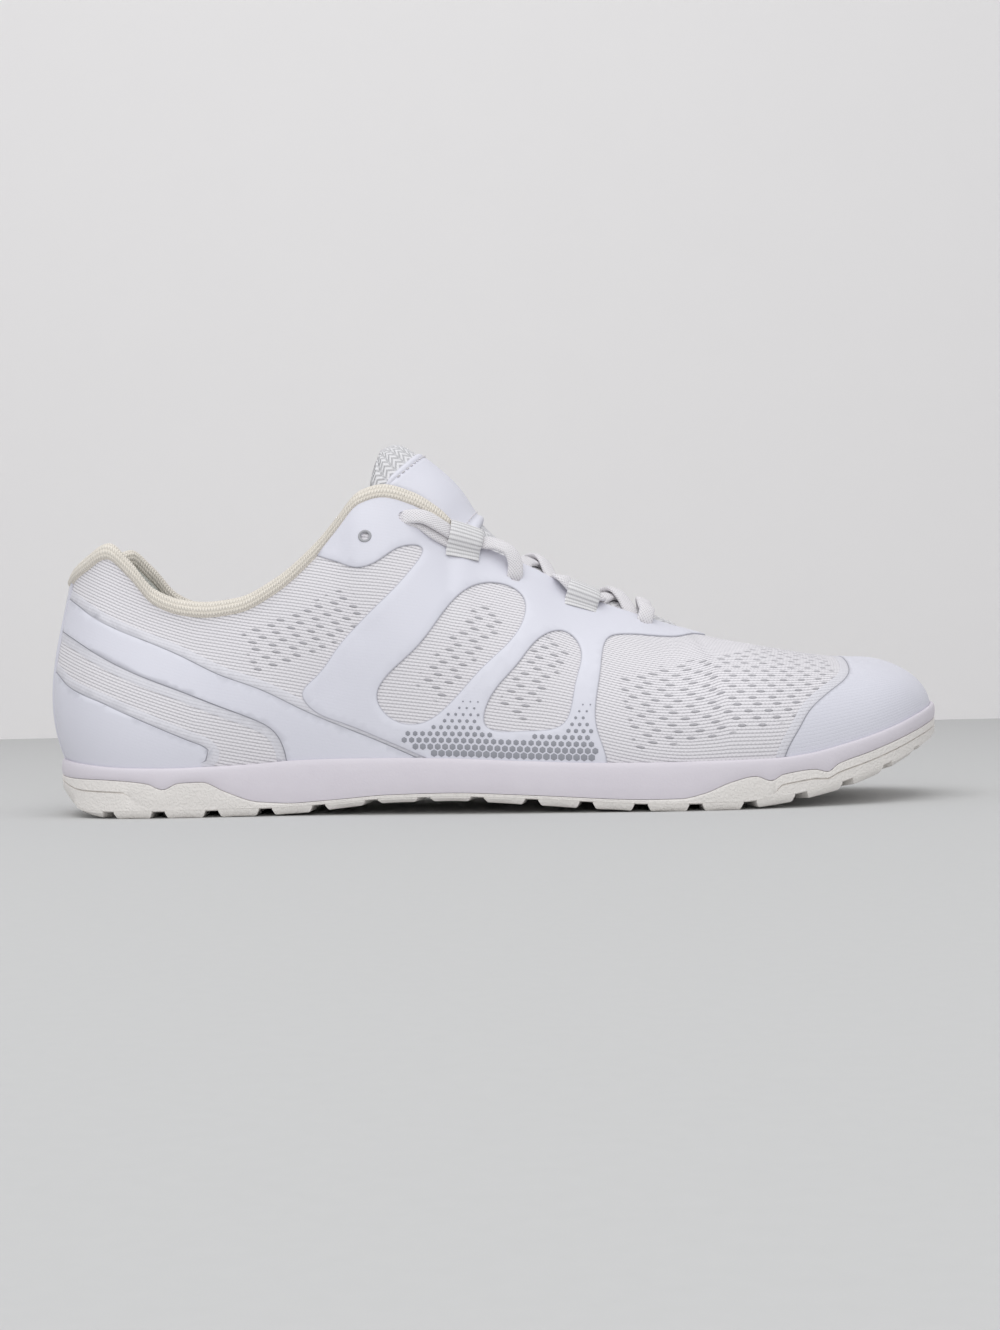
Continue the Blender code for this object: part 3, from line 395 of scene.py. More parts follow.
def trace_outline():
    """Dense points down each side of the sole's outline, from heel to toe."""
    widths = [blend(HEEL_WIDTH, BALL_WIDTH, soft_step(along, *WIDENING)) for along, _ in OUTLINE]
    points = [(along * LENGTH, across * width) for (along, across), width in zip(OUTLINE, widths)]
    lap = 4
    loop = np.array(points[-lap:] + points + points[:lap + 1])
    chord = chords(loop)
    heel, toe, end = chord[lap], chord[lap + TOE_ROW], chord[lap + len(points)]
    sides = {}
    for side, start in ((LATERAL, heel), (MEDIAL, end)):
        trace = spline(chord, loop, np.linspace(start, toe, TRACE_POINTS))
        run = chords(trace)
        sides[side] = (run / run[-1], trace)
    return sides


SOLE = Table(SOLE_NAMES, SOLE_ROWS)
TOP = Table(TOP_NAMES, TOP_ROWS)
SECTIONS = Table(SECTION_NAMES, SECTION_ROWS)
TRACE = trace_outline()


def plan(side, share, inset):
    """Points of the sole's outline in plan, moved inward, and the outward directions there."""
    shares, trace = TRACE[side]
    share = np.asarray(share, dtype=float)

    def read(at):
        return np.stack([np.interp(at, shares, trace[:, i]) for i in (0, 1)] + [np.zeros(at.shape)], axis=-1)

    run = read(np.minimum(share + NORMAL_STEP, 1)) - read(np.maximum(share - NORMAL_STEP, 0))
    run = np.where((share <= 0)[..., None], (0.0, side, 0.0), run)
    run = np.where((share >= 1)[..., None], (0.0, -side, 0.0), run)
    outward = unit(np.stack([run[..., 1], -run[..., 0], np.zeros(share.shape)], axis=-1)) * -side
    return read(share) - outward * inset, outward


def stand(points, heights):
    """The plan points at the given heights, with the shoe's middle at X = 0."""
    placed = np.array(points, dtype=float)
    placed[..., 0] -= LENGTH / 2
    placed[..., 2] = heights
    return placed


def sole_height(name, x):
    """Height above the floor of one line of the sole at a place along its length."""
    along = x / LENGTH
    tips = SOLE.at("tips", along) * TOE_SPRING
    underside = tips + SOLE.at("lugs", along) * LUG_HEIGHT
    levels = {"tips": tips, "underside": underside, "web": underside + RUBBER}
    if name in levels:
        return levels[name]
    height = SOLE.at(name, along) * SOLE_EDGE
    return np.maximum(height, underside + RUBBER + 0.1 * MM) if name == "rim" else height


def binding_share(share):
    """Part of the binding's full height that stands on the upper here."""
    rise = blend(0.6, 1.0, soft_step(share, 0.0, 0.08))
    return rise * (1 - soft_step(share, BINDING_END, BINDING_END + 0.025))


def top_points(side, share):
    """Upper edge of the upper, below its binding, down to the throat and along the vamp's ridge."""
    across = TOP.at("across", share) * COLLAR_WIDTH / 2
    across = np.where(share <= VAMP_POINT, side * across, -across)
    binding = binding_share(share) * (BINDING_HEIGHT + GAP)
    height = TOP.at("height", np.hypot(share, HEEL_DIP)) * INSTEP_HEIGHT - binding
    return np.stack([TOP.at("along", share) * LENGTH, across, height], axis=-1)


def section_controls(side):
    """Four control points of the upper's section at dense shares of the feather line."""
    share = np.linspace(0, 1, 2001)
    base, outward = plan(side, share, RAND + GAP)
    foot = base + UP * sole_height("edge", base[:, 0])[:, None]
    top = top_points(side, share)
    chord = np.linalg.norm(top - foot, axis=1, keepdims=True)
    lean, low_reach, dip, top_reach = (SECTIONS.at(name, share)[:, None] for name in SECTION_NAMES[1:])
    lean, dip = np.radians(lean), np.radians(dip)
    low = foot + (outward * np.sin(lean) + UP * np.cos(lean)) * chord * low_reach
    high = top + (outward * np.cos(dip) - UP * np.sin(dip)) * chord * top_reach
    controls = np.stack([foot, low, high, top], axis=1)
    controls[..., 0] -= LENGTH / 2
    return controls


CONTROLS = {side: section_controls(side) for side in SIDES}


def face_point(side, share, rise):
    """The upper's outer face: rise -1 to 0 is tucked in the midsole, 0 to 1 goes to the top."""
    share, rise = paired(share, rise)
    controls = CONTROLS[side]
    place = share * (len(controls) - 1)
    k = np.clip(place.astype(int), 0, len(controls) - 2)
    part = (place - k)[..., None, None]
    foot, low, high, top = np.moveaxis(controls[k] * (1 - part) + controls[k + 1] * part, -2, 0)
    t = np.clip(rise, 0, 1)[..., None]
    point = foot * (1 - t) ** 3 + low * 3 * t * (1 - t) ** 2 + high * 3 * t * t * (1 - t) + top * t ** 3
    point[..., 2] += np.minimum(rise, 0) * (TUCK - GAP)
    return point


def raw_normal(side, share, rise):
    """Outward direction of one side's face; over the toe it is read a little further back."""
    step = NORMAL_STEP
    share = np.minimum(share, blend(1.0, 0.955, soft_step(rise, 0.70, 0.92)))
    ahead, behind = np.minimum(share + step, 1), np.maximum(share - step, 0)
    above, below = np.clip(rise + step, step, 1), np.clip(rise - step, 0, 1 - step)
    along = face_point(side, ahead, rise) - face_point(side, behind, rise)
    up = face_point(side, share, above) - face_point(side, share, below)
    return unit(np.cross(up, along) * side)


def crease_relief(point):
    """Lift of the upper by its soft troughs, by place in side view."""
    relief = np.zeros(point.shape[:-1])
    place = point[..., [0, 2]]
    for x0, z0, x1, z1, half_width, depth in CREASES:
        start = side_view((x0, z0))
        reach = side_view((x1, z1)) - start
        t = np.clip(((place - start) @ reach) / (reach @ reach), 0, 1)
        distance = np.linalg.norm(place - start - t[..., None] * reach, axis=-1)
        relief -= depth * MM * np.exp(-(distance / (half_width * MM)) ** 2)
    return relief


def on_face(side, share, rise, lift=0.0):
    """Points of the upper's face moved outward; both sides agree where they meet."""
    share, rise = paired(share, rise)
    normal = raw_normal(side, share, rise)
    meet = (share <= 0) | (share >= 1) | ((rise >= 1) & (share >= VAMP_POINT))
    normal = np.where(meet[..., None], unit(normal + raw_normal(-side, share, rise)), normal)
    point = face_point(side, share, rise)
    inward_fade = soft_step(rise, 0.0, 0.1) * soft_step(rise, 1.0, 0.93)
    return point + normal * (np.asarray(lift) + crease_relief(point) * inward_fade)[..., None]


def section_arcs(side):
    """Length of the section from the sole up to each rise, on a grid of shares and rises."""
    shares, rises = np.linspace(0, 1, 201), np.linspace(0, 1, 41)
    grid = face_point(side, shares[:, None], rises[None, :])
    steps = np.linalg.norm(np.diff(grid, axis=1), axis=2)
    return np.concatenate([np.zeros((len(shares), 1)), np.cumsum(steps, axis=1)], axis=1)


ARCS = {side: section_arcs(side) for side in SIDES}


def sheet_place(side, share, rise):
    """Flat coordinates of the mesh cloth: along the shoe, and up its ribs, in metres.

    Over the heel and the middle the ribs slant down towards the toe; over the vamp they run
    evenly between the sole and the ridge.
    """
    share, rise = paired(share, rise)
    arcs = ARCS[side][..., None]
    row, last = share * (arcs.shape[0] - 1), arcs.shape[1] - 1
    arc = read_grid(arcs, row, np.clip(rise, 0, 1) * last)[..., 0]
    full = read_grid(arcs, row, np.full(row.shape, float(last)))[..., 0]
    x = face_point(side, share, rise)[..., 0] + LENGTH / 2
    slanted = arc + np.interp(x / MM, *zip(*RIB_SLANT)) * MM
    even = arc / full * VAMP_ARC + RIB_SLANT[-1][1] * MM
    along = share * RUN if side == LATERAL else 2 * RUN - share * RUN
    return np.stack([along, blend(slanted, even, soft_step(share, *RIBS_CHANGE))], axis=-1)


def cloth_masks(point):
    """How much of the vent pattern shows at a point of the upper."""
    vent = np.zeros(len(point))
    for along, height, half_length, half_height, slope in VENT_AREAS:
        offset = point[:, [0, 2]] - side_view((along, height))
        turn = math.radians(slope)
        a = np.abs(offset[:, 0] * math.cos(turn) + offset[:, 1] * math.sin(turn)) / MM
        b = np.abs(offset[:, 1] * math.cos(turn) - offset[:, 0] * math.sin(turn)) / MM
        area = soft_step(a, half_length + 3, half_length - 3) * soft_step(b, half_height + 2, half_height - 2)
        vent = np.maximum(vent, area)
    return {"vent": vent}


# Mesh bodies: dictionaries of points, faces, flat coordinates and masks

WELD = 0.01 * MM


def thick(top, bottom, faces, sheet, masks=None):
    """Closed body from one surface's faces at two sets of points, joined along its free edges."""
    cells = np.round(top / WELD).astype(np.int64)
    _, first, index = np.unique(cells, axis=0, return_index=True, return_inverse=True)
    index = index.ravel()
    clean = [tuple(dict.fromkeys(index[list(face)].tolist())) for face in faces]
    clean = [face for face in clean if len(face) > 2]
    once = {}
    for face in clean:
        for a, b in zip(face, face[1:] + face[:1]):
            if once.pop((b, a), None) is None:
                once[(a, b)] = True
    count = len(first)
    closed = clean + [tuple(count + i for i in reversed(face)) for face in clean]
    closed += [(b, a, a + count, b + count) for a, b in once]
    double = {name: np.concatenate([values[first]] * 2) for name, values in (masks or {}).items()}
    points, flat = np.concatenate([top[first], bottom[first]]), np.concatenate([sheet[first]] * 2)
    return as_body(points, closed, flat, double)


def as_body(points, faces, sheet, masks=None):
    return {"points": points, "faces": faces, "sheet": sheet, "masks": masks or {}}


def grid_faces(rows, columns, closed=False):
    """Quads over a grid whose points run row by row; closed joins the last column to the first."""
    wide = columns if closed else columns - 1
    return [(r * columns + c, r * columns + (c + 1) % columns, (r + 1) * columns + (c + 1) % columns,
             (r + 1) * columns + c) for r in range(rows - 1) for c in range(wide)]


def join(bodies):
    """All the bodies as one; a mask that a body lacks is zero there."""
    count, faces = 0, []
    names = {name for body in bodies for name in body["masks"]}
    for body in bodies:
        faces += [tuple(i + count for i in face) for face in body["faces"]]
        count += len(body["points"])
    points, sheet = (np.concatenate([body[key] for body in bodies]) for key in ("points", "sheet"))
    masks = {name: np.concatenate([body["masks"].get(name, np.zeros(len(body["points"]))) for body in bodies])
             for name in names}
    return as_body(points, faces, sheet, masks)


def add_object(name, data):
    made = bpy.data.objects.new(name, data)
    bpy.context.scene.collection.objects.link(made)
    return made


def make_piece(name, body, paint, slot, *nodes, sharp=50):
    """One visible object that rides on the shoe and stands for its CAD nodes."""
    mesh = bpy.data.meshes.new(name)
    mesh.from_pydata(body["points"].tolist(), [], body["faces"])
    loops = np.zeros(len(mesh.loops), dtype=np.int32)
    mesh.loops.foreach_get("vertex_index", loops)
    layer = mesh.uv_layers.new(name="sheet")
    layer.data.foreach_set("uv", body["sheet"][loops].astype(np.float32).ravel())
    for mask, values in body["masks"].items():
        mesh.attributes.new(mask, "FLOAT", "POINT").data.foreach_set("value", values.astype(np.float32))
    mesh.materials.append(paint)
    mesh.validate()
    mesh.shade_smooth()
    mesh.set_sharp_from_angle(angle=math.radians(sharp))
    made = add_object(name, mesh)
    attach(made, "root")
    if nodes:
        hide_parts(*nodes)


def ring_places(steps):
    """Sides and shares round the shoe: the lateral side to the toe, then the medial side back."""
    shares = np.linspace(0, 1, steps + 1)
    return [(LATERAL, shares), (MEDIAL, shares[-2:0:-1])]


def tube(path, across, up, profile):
    """Closed body along a path; profile gives (across, up) shares round the section."""
    profile = np.array(profile)
    count, wide = len(path), len(profile)
    points = path[:, None] + across[:, None] * profile[None, :, :1] + up[:, None] * profile[None, :, 1:]
    around = chords(np.array([across[0] * a + up[0] * b for a, b in profile]))
    sheet = np.stack(np.broadcast_arrays(chords(path)[:, None], around[None, :]), axis=-1)
    faces = grid_faces(count, wide, closed=True)
    faces += [tuple(range(wide - 1, -1, -1)), tuple(range((count - 1) * wide, count * wide))]
    return as_body(points.reshape(-1, 3), faces, sheet.reshape(-1, 2))


def rounded_profile(points, power):
    """A superellipse of half width and half height 1."""
    angles = np.linspace(0, math.tau, points, endpoint=False)
    c, s = np.cos(angles), np.sin(angles)
    return np.stack([np.sign(c) * np.abs(c) ** power, np.sign(s) * np.abs(s) ** power], axis=1)


# Lines in side view and their places on the upper

LINE_STEP = 1.0 * MM
EDGE_STEP = 0.25 * MM


def side_line(points, closed=False):
    """Smooth side-view line through the points, at even steps, in metres."""
    line = side_view(points)
    lap = 3 if closed else 0
    line = np.concatenate([line[-lap:], line, line[:lap + 1]]) if closed else line
    chord = chords(line)
    low, high = chord[lap], chord[len(line) - 1 - lap]
    count = max(4, round((high - low) / LINE_STEP))
    return spline(chord, line, np.linspace(low, high, count, endpoint=not closed))


def offset_line(line, distance):
    """The line moved to its left by a distance, without the points that come nearer than that."""
    ahead = np.gradient(line, axis=0)
    moved = line + unit(np.stack([-ahead[:, 1], ahead[:, 0]], axis=1)) * distance
    return moved[nearest_distance(moved, line) > abs(distance) * 0.985]


def nearest_distance(points, line):
    """Distance from each point to the nearest point of a line."""
    found = [np.linalg.norm(chunk[:, None] - line[None], axis=2).min(axis=1)
             for chunk in np.array_split(points, max(1, len(points) // 500))]
    return np.concatenate(found)


def find_on_face(side, line):
    """Share and rise of side-view points on one side, and whether they lie on the upper."""
    shares, rises = np.meshgrid(np.linspace(0, 1, 241), np.linspace(0, 1, 41), indexing="ij")
    grid = face_point(side, shares, rises)[..., [0, 2]].reshape(-1, 2)
    nearest = [np.argmin(((grid - point) ** 2).sum(axis=1)) for point in line]
    s, r = shares.ravel()[nearest], rises.ravel()[nearest]
    h = 0.001

    def seen(share, rise):
        return face_point(side, share, rise)[..., [0, 2]]

    for _ in range(15):
        miss = line - seen(s, r)
        s_high, s_low = np.minimum(s + h, 1), np.maximum(s - h, 0)
        r_high, r_low = np.minimum(r + h, 1), np.maximum(r - h, 0)
        ds = (seen(s_high, r) - seen(s_low, r)) / (s_high - s_low)[:, None]
        dr = (seen(s, r_high) - seen(s, r_low)) / (r_high - r_low)[:, None]
        turn = ds[:, 0] * dr[:, 1] - ds[:, 1] * dr[:, 0]
        turn = np.where(np.abs(turn) < 1e-7, 1e-7, turn)
        s = np.clip(s + np.clip((miss[:, 0] * dr[:, 1] - miss[:, 1] * dr[:, 0]) / turn, -0.02, 0.02), 0, 1)
        r = np.clip(r + np.clip((ds[:, 0] * miss[:, 1] - ds[:, 1] * miss[:, 0]) / turn, -0.04, 0.04), 0, 1)
    return s, r, np.linalg.norm(line - seen(s, r), axis=1) < 0.08 * MM


def crossing(line, border):
    """Places where two side-view lines cross, in steps along each."""
    a, da = line[:-1, None], np.diff(line, axis=0)[:, None]
    b, db = border[None, :-1], np.diff(border, axis=0)[None]
    turn = da[..., 0] * db[..., 1] - da[..., 1] * db[..., 0]
    turn = np.where(np.abs(turn) < 1e-15, 1e-15, turn)
    gap = b - a
    t = (gap[..., 0] * db[..., 1] - gap[..., 1] * db[..., 0]) / turn
    u = (gap[..., 0] * da[..., 1] - gap[..., 1] * da[..., 0]) / turn
    found = np.argwhere((t >= 0) & (t < 1) & (u >= 0) & (u < 1))
    return [(i + t[i, j], j + u[i, j]) for i, j in found]


def border_ends(side, line):
    """Where a side-view line leaves the upper's face: (place along the line, share, rise)."""
    dense = np.linspace(0, 1, 601)
    borders = [(dense * 0, dense), (dense * 0 + 1, dense), (dense, dense * 0), (dense, dense * 0 + 1)]
    ends, places = [], np.arange(len(dense))
    for shares, rises in borders:
        seen = face_point(side, shares, rises)[:, [0, 2]]
        for at, place in crossing(line, seen):
            ends.append((at, np.interp(place, places, shares), np.interp(place, places, rises)))
    return sorted(ends)


def lay_line(side, line, reach=True):
    """A side-view line as (share, rise) points, from border to border of the upper's face."""
    s, r, on = find_on_face(side, line)
    laid = np.stack([s, r], axis=1)
    if not reach:
        return laid[on]
    ends = border_ends(side, line)
    first, last = ends[0], ends[-1]
    places = np.arange(len(line))
    keep = on & (places > first[0] + 1.5) & (places < last[0] - 1.5)
    return np.concatenate([[first[1:]], laid[keep], [last[1:]]])


def inside(points, loop):
    """Which points lie inside a closed loop."""
    found = np.zeros(len(points), dtype=bool)
    for (x0, y0), (x1, y1) in zip(loop, np.roll(loop, -1, axis=0)):
        if y0 == y1:
            continue
        crosses = (y0 > points[:, 1]) != (y1 > points[:, 1])
        found ^= crosses & (points[:, 0] < (x1 - x0) * (points[:, 1] - y0) / (y1 - y0) + x0)
    return found


def fill(outline, holes, lines, spacing):
    """Triangles over a flat outline with holes, with edges along the given open lines."""
    def within(spots):
        kept = inside(spots, outline)
        for hole in holes:
            kept &= ~inside(spots, hole)
        return kept

    points, edges = [], []
    for line, closed in [(loop, True) for loop in [outline] + holes] + [(line, False) for line in lines]:
        first = len(points)
        points += [tuple(point) for point in line]
        edges += [(first + i, first + i + 1) for i in range(len(line) - 1)]
        if closed:
            edges.append((first + len(line) - 1, first))
    fixed = np.array(points)
    low, high = fixed.min(axis=0), fixed.max(axis=0)
    rows = np.arange(low[1], high[1], spacing * ROW_STEP)
    grid = np.array([(x + (j % 2) * spacing / 2, y) for j, y in enumerate(rows)
                     for x in np.arange(low[0], high[0], spacing)])
    grid = grid[within(grid)]
    grid = grid[nearest_distance(grid, fixed) > spacing * 0.55]
    points += [tuple(point) for point in grid]
    found = delaunay_2d_cdt([Vector(point) for point in points], edges, [], 0, 1e-8)
    flat = np.array([tuple(point) for point in found[0]])
    triangles = np.array([list(face) for face in found[2]])
    return flat, triangles[within(flat[triangles].mean(axis=1))]


def walk(*corners, steps=60):
    """Points along straight runs between (share, rise) corners, without the first and last."""
    runs = [np.linspace(a, b, steps, endpoint=False) for a, b in zip(corners, corners[1:])]
    return np.concatenate(runs)[1:]


# Film thickness by distance from a free edge, both in millimetres: a film with a thin border
# outside its pressed line, and a plain film
# Where the pressed line runs from the free edge, and half the width of the painted shade line drawn in it, in
# millimetres
LINE_AT, SHADE_LINE_HALF = 2.9, 0.30
BORDERED = ((0.0, 0.05), (0.35, 0.15), (2.65, 0.17), (2.9, 0.08), (3.15, 0.40))
PLAIN = ((0.0, 0.08), (0.45, 0.36))
SADDLE_LIFT = 0.20 * MM
SADDLE_NOSE = 0.716
CAP_SPACING = 1.1 * MM
STRIP_LIFT = 0.45 * MM
# How dark the painted shade along the heel strip's free edge is
STRIP_EDGE_SHADE = 0.15


def film_body(regions, profile, lift=0.0, spacing=2.0 * MM, edge_shade=0.55):
    """Film over one region of each side; each is (side, outline, holes, rails, free edges)."""
    scale = np.array((RUN, RISE))
    tops, bottoms, faces, sheets, distances = [], [], [], [], []
    count = 0
    for side, outline, holes, rails, free in regions:
        flat, triangles = fill(outline * scale, [hole * scale for hole in holes],
                               [rail * scale for rail in rails if len(rail) > 2], spacing)
        share, rise = np.clip(flat / scale, 0, 1).T
        edges = np.concatenate([dense_edge(side, line) for line in free])
        away = nearest_distance(face_point(side, share, rise), edges) / MM
        height = np.interp(away, *zip(*profile)) * MM
        tops.append(on_face(side, share, rise, lift + height))
        bottoms.append(on_face(side, share, rise, FILM_UNDERSIDE))
        corners = tops[-1][triangles]
        turned = np.cross(corners[:, 1] - corners[:, 0], corners[:, 2] - corners[:, 0])
        outward = raw_normal(side, share, rise)[triangles[:, 0]]
        flip = (turned * outward).sum(axis=1) < 0
        triangles[flip] = triangles[flip][:, ::-1]
        faces += (triangles + count).tolist()
        count += len(flat)
        sheets.append(sheet_place(side, share, rise))
        distances.append(away)
    away = np.concatenate(distances)
    # The line mask is painted shade: in the pressed groove of a bordered film, and along the free edge of a
    # plain film
    if profile is BORDERED:
        line = np.clip(1 - np.abs(away - LINE_AT) / SHADE_LINE_HALF, 0, 1)
        masks = {"line": line, "border": 1 - soft_step(away, LINE_AT - 0.3, LINE_AT + 0.1)}
    else:
        masks = {"line": edge_shade * soft_step(away, PLAIN[-1][0], 0.0), "border": away * 0}
    return thick(np.concatenate(tops), np.concatenate(bottoms), faces, np.concatenate(sheets), masks)


def dense_edge(side, laid):
    """Points close together along a laid line, on the face."""
    path = face_point(side, laid[:, 0], laid[:, 1])
    run = chords(path)
    at = np.arange(0, run[-1], EDGE_STEP)
    return np.stack([np.interp(at, run, path[:, i]) for i in range(3)], axis=1)


def moved_on_face(side, laid, distance, closed):
    """A laid line moved across the face to its left, seen from outside on the lateral side."""
    s, r = laid.T
    step = 0.002
    s1, r1 = np.where(s > 0.5, s - step, s + step), np.where(r > 0.5, r - step, r + step)
    here = face_point(side, s, r)
    ds = (face_point(side, s1, r) - here) / (s1 - s)[:, None]
    dr = (face_point(side, s, r1) - here) / (r1 - r)[:, None]
    ahead = np.roll(here, -1, axis=0) - np.roll(here, 1, axis=0) if closed else np.gradient(here, axis=0)
    across = unit(np.cross(np.cross(dr, ds), ahead)) * distance
    a, b, c = (ds * ds).sum(axis=1), (ds * dr).sum(axis=1), (dr * dr).sum(axis=1)
    p, q = (across * ds).sum(axis=1), (across * dr).sum(axis=1)
    turn = a * c - b * b
    return laid + np.stack([(c * p - b * q) / turn, (a * q - b * p) / turn], axis=1)


def rails_of(side, laid, inward, profile, closed=False):
    """Lines inside a film along its free edge; inward is 1 for the line's left and -1 for its right."""
    found, edge = [], dense_edge(side, laid)
    for distance, _ in profile[1:]:
        moved = moved_on_face(side, laid, -inward * distance * MM, closed)
        on = (moved >= 0).all(axis=1) & (moved <= 1).all(axis=1)
        moved = moved[on]
        moved = moved[nearest_distance(face_point(side, *moved.T), edge) > distance * MM * 0.97]
        found.append(np.concatenate([moved, moved[:1]]) if closed else moved)
    return found


def lay_across(side, line):
    """A side-view line that climbs from the sole to the ridge, as (share, rise) points from the top."""
    rises = np.linspace(1, 0, 110)
    order = np.argsort(line[:, 1])
    heights, places = line[order, 1], line[order, 0]
    low, high = np.full(len(rises), 0.5), np.full(len(rises), 0.98)
    for _ in range(40):
        middle = (low + high) / 2
        seen = face_point(side, middle, rises)
        short = seen[:, 0] < np.interp(seen[:, 2], heights, places)
        low, high = np.where(short, middle, low), np.where(short, high, middle)
    return np.stack([(low + high) / 2, rises], axis=1)


def end_on_ridge(laid, share):
    """The laid line up to where the vamp flattens, then on in a soft bend to the ridge."""
    kept = laid[:int(np.argmax(laid[:, 1] > 0.80))]
    start, corner, end = kept[-1], np.array((share, 0.90)), np.array((share, 1.0))
    t = np.linspace(0, 1, 30)[1:, None]
    return np.concatenate([kept, start * (1 - t) ** 2 + corner * 2 * t * (1 - t) + end * t * t])


def outer_edge(table, inward):
    """Free edge of a bordered film, outside its pressed line."""
    return offset_line(side_line(table), -inward * LINE_AT * MM)


def eyelet_spot(side, name):
    """Share and rise of an eyelet's middle on one side."""
    s, r, _ = find_on_face(side, side_view([EYELETS[name]]))
    return s[0], r[0]


def eyelet_hole(side, name, radius):
    """Round hole in a film at an eyelet, as (share, rise) points."""
    share, rise = eyelet_spot(side, name)
    step = 0.002
    along = np.linalg.norm(face_point(side, share + step, rise) - face_point(side, share, rise)) / step
    up = np.linalg.norm(face_point(side, share, rise) - face_point(side, share, rise - step)) / step
    angles = np.linspace(0, math.tau, 20, endpoint=False)
    return np.stack([share + radius * np.cos(angles) / along, rise + radius * np.sin(angles) / up], axis=1)


def edge_region(side, line, corners, inward, profile):
    """Film region with one free edge, which goes on round the given corners of the face."""
    outline = np.concatenate([line, walk(line[-1], *corners, line[0])])
    return side, outline, [], rails_of(side, line, inward, profile), [line]


def make_toe_cap(film):
    edge = outer_edge(CAP_EDGE, 1)
    regions = [edge_region(side, lay_across(side, edge), ((1, 0), (1, 1)), 1, BORDERED) for side in SIDES]
    make_piece("toe_cap_film", film_body(regions, BORDERED, spacing=CAP_SPACING), film, "film", "toe_cap")


def make_heel_counter(film):
    edge = outer_edge(COUNTER_TOP, -1)
    regions = [edge_region(side, lay_line(side, edge), ((0, 0),), -1, BORDERED) for side in SIDES]
    make_piece("heel_counter_film", film_body(regions, BORDERED), film, "film", "heel_counter")


def make_heel_band(film):
    top, low = outer_edge(BAND_TOP, -1), outer_edge(BAND_LOW, 1)
    regions = []
    for side in SIDES:
        upper_line, lower_line = lay_line(side, top), lay_line(side, low)
        outline = np.concatenate([upper_line, walk(upper_line[-1], lower_line[-1]), lower_line[::-1],
                                  walk(lower_line[0], upper_line[0])])
        rails = rails_of(side, upper_line, -1, BORDERED) + rails_of(side, lower_line, 1, BORDERED)
        regions.append((side, outline, [], rails, [upper_line, lower_line]))
    make_piece("heel_band_film", film_body(regions, BORDERED), film, "film", "heel_band")


def make_heel_strip(film):
    rises = np.linspace(1, 0, 80)
    line = np.stack([STRIP_SHARE * blend(1.0, 0.85, rises), rises], axis=1)
    regions = [edge_region(side, line, ((0, 0), (0, 1)), -1, PLAIN) for side in SIDES]
    body = film_body(regions, PLAIN, lift=STRIP_LIFT, edge_shade=STRIP_EDGE_SHADE)
    make_piece("heel_strip_film", body, film, "film", "heel_strip")


def make_saddle(film):
    rear, front = side_line(SADDLE_REAR), side_line(SADDLE_FRONT)
    windows = [side_line(window, closed=True) for window in WINDOWS]
    regions = []
    for side in SIDES:
        rear_line, front_line = lay_line(side, rear), end_on_ridge(lay_line(side, front), SADDLE_NOSE)
        outline = np.concatenate([rear_line, walk(rear_line[-1], front_line[0]), front_line,
                                  walk(front_line[-1], (VAMP_POINT, 1)), walk((VAMP_POINT, 1), rear_line[0])])
        rails = rails_of(side, rear_line, 1, PLAIN) + rails_of(side, front_line, 1, PLAIN)
        holes, free = [], [rear_line, front_line]
        for window in windows:
            hole = lay_line(side, window, reach=False)
            holes.append(hole)
            free.append(np.concatenate([hole, hole[:1]]))
            rails += rails_of(side, hole, -1 if turns_left(window) else 1, PLAIN, closed=True)
        holes += [eyelet_hole(side, name, radius) for name, radius in EYELET_RADII.items()]
        regions.append((side, outline, holes, rails, free))
    make_piece("saddle_film", film_body(regions, PLAIN, lift=SADDLE_LIFT), film, "film", "eyestay")


def directions_round(normal, turns):
    """Directions at right angles to a normal, one for each turn."""
    across = unit(np.cross(normal, UP))
    up = np.cross(across, normal)
    return across * np.cos(turns)[:, None] + up * np.sin(turns)[:, None]


def hexagon(side, share, rise, radius):
    """Small raised cell on the saddle."""
    centre, normal = face_spot(side, share, rise, SADDLE_LIFT + CELL_SEAT)
    rim = directions_round(normal, np.linspace(0, math.tau, 6, endpoint=False) + math.pi / 6)
    points = np.concatenate([centre + rim * radius * size + normal * height for size, height in CELL_RINGS])
    faces = [face[::-1] for face in grid_faces(3, 6, closed=True)]
    faces += [tuple(range(6)), tuple(range(17, 11, -1))]
    return as_body(points, faces, points[:, [0, 2]])


def make_halftone(paint):
    """Grey hexagons on the saddle over the sole, smaller from row to row."""
    low, high = (along * LENGTH - LENGTH / 2 for along in HALFTONE_REACH)
    spots = [(x, row) for row in range(HALFTONE_ROWS)
             for x in np.arange(low + (row % 2) * HALFTONE_PITCH / 2, high, HALFTONE_PITCH)]
    along, rows = (np.array(column) for column in zip(*spots))
    edge_height = sole_height("edge", along + LENGTH / 2)
    places = np.stack([along, edge_height + HALFTONE_START + rows * HALFTONE_PITCH * ROW_STEP], axis=1)
    loops = [side_line(window, closed=True) for window in WINDOWS]
    rear = side_line(SADDLE_REAR)
    edges = loops + [rear, side_line(SADDLE_FRONT)]
    clear = np.min([nearest_distance(places, edge) for edge in edges], axis=0) > HALFTONE_MARGIN
    for loop in loops:
        clear &= ~inside(places, loop)
    clear &= places[:, 0] > np.interp(places[:, 1], rear[::-1, 1], rear[::-1, 0])
    bodies = []
    for side in SIDES:
        shares, rises, on = find_on_face(side, places)
        for share, rise, row, keep in zip(shares, rises, rows, clear & on & (rises > 0.01)):
            if keep:
                radius = HALFTONE_PITCH * blend(0.50, 0.12, row / (HALFTONE_ROWS - 1))
                bodies.append(hexagon(side, share, rise, radius))
    make_piece("saddle_halftone", join(bodies), paint, "film")


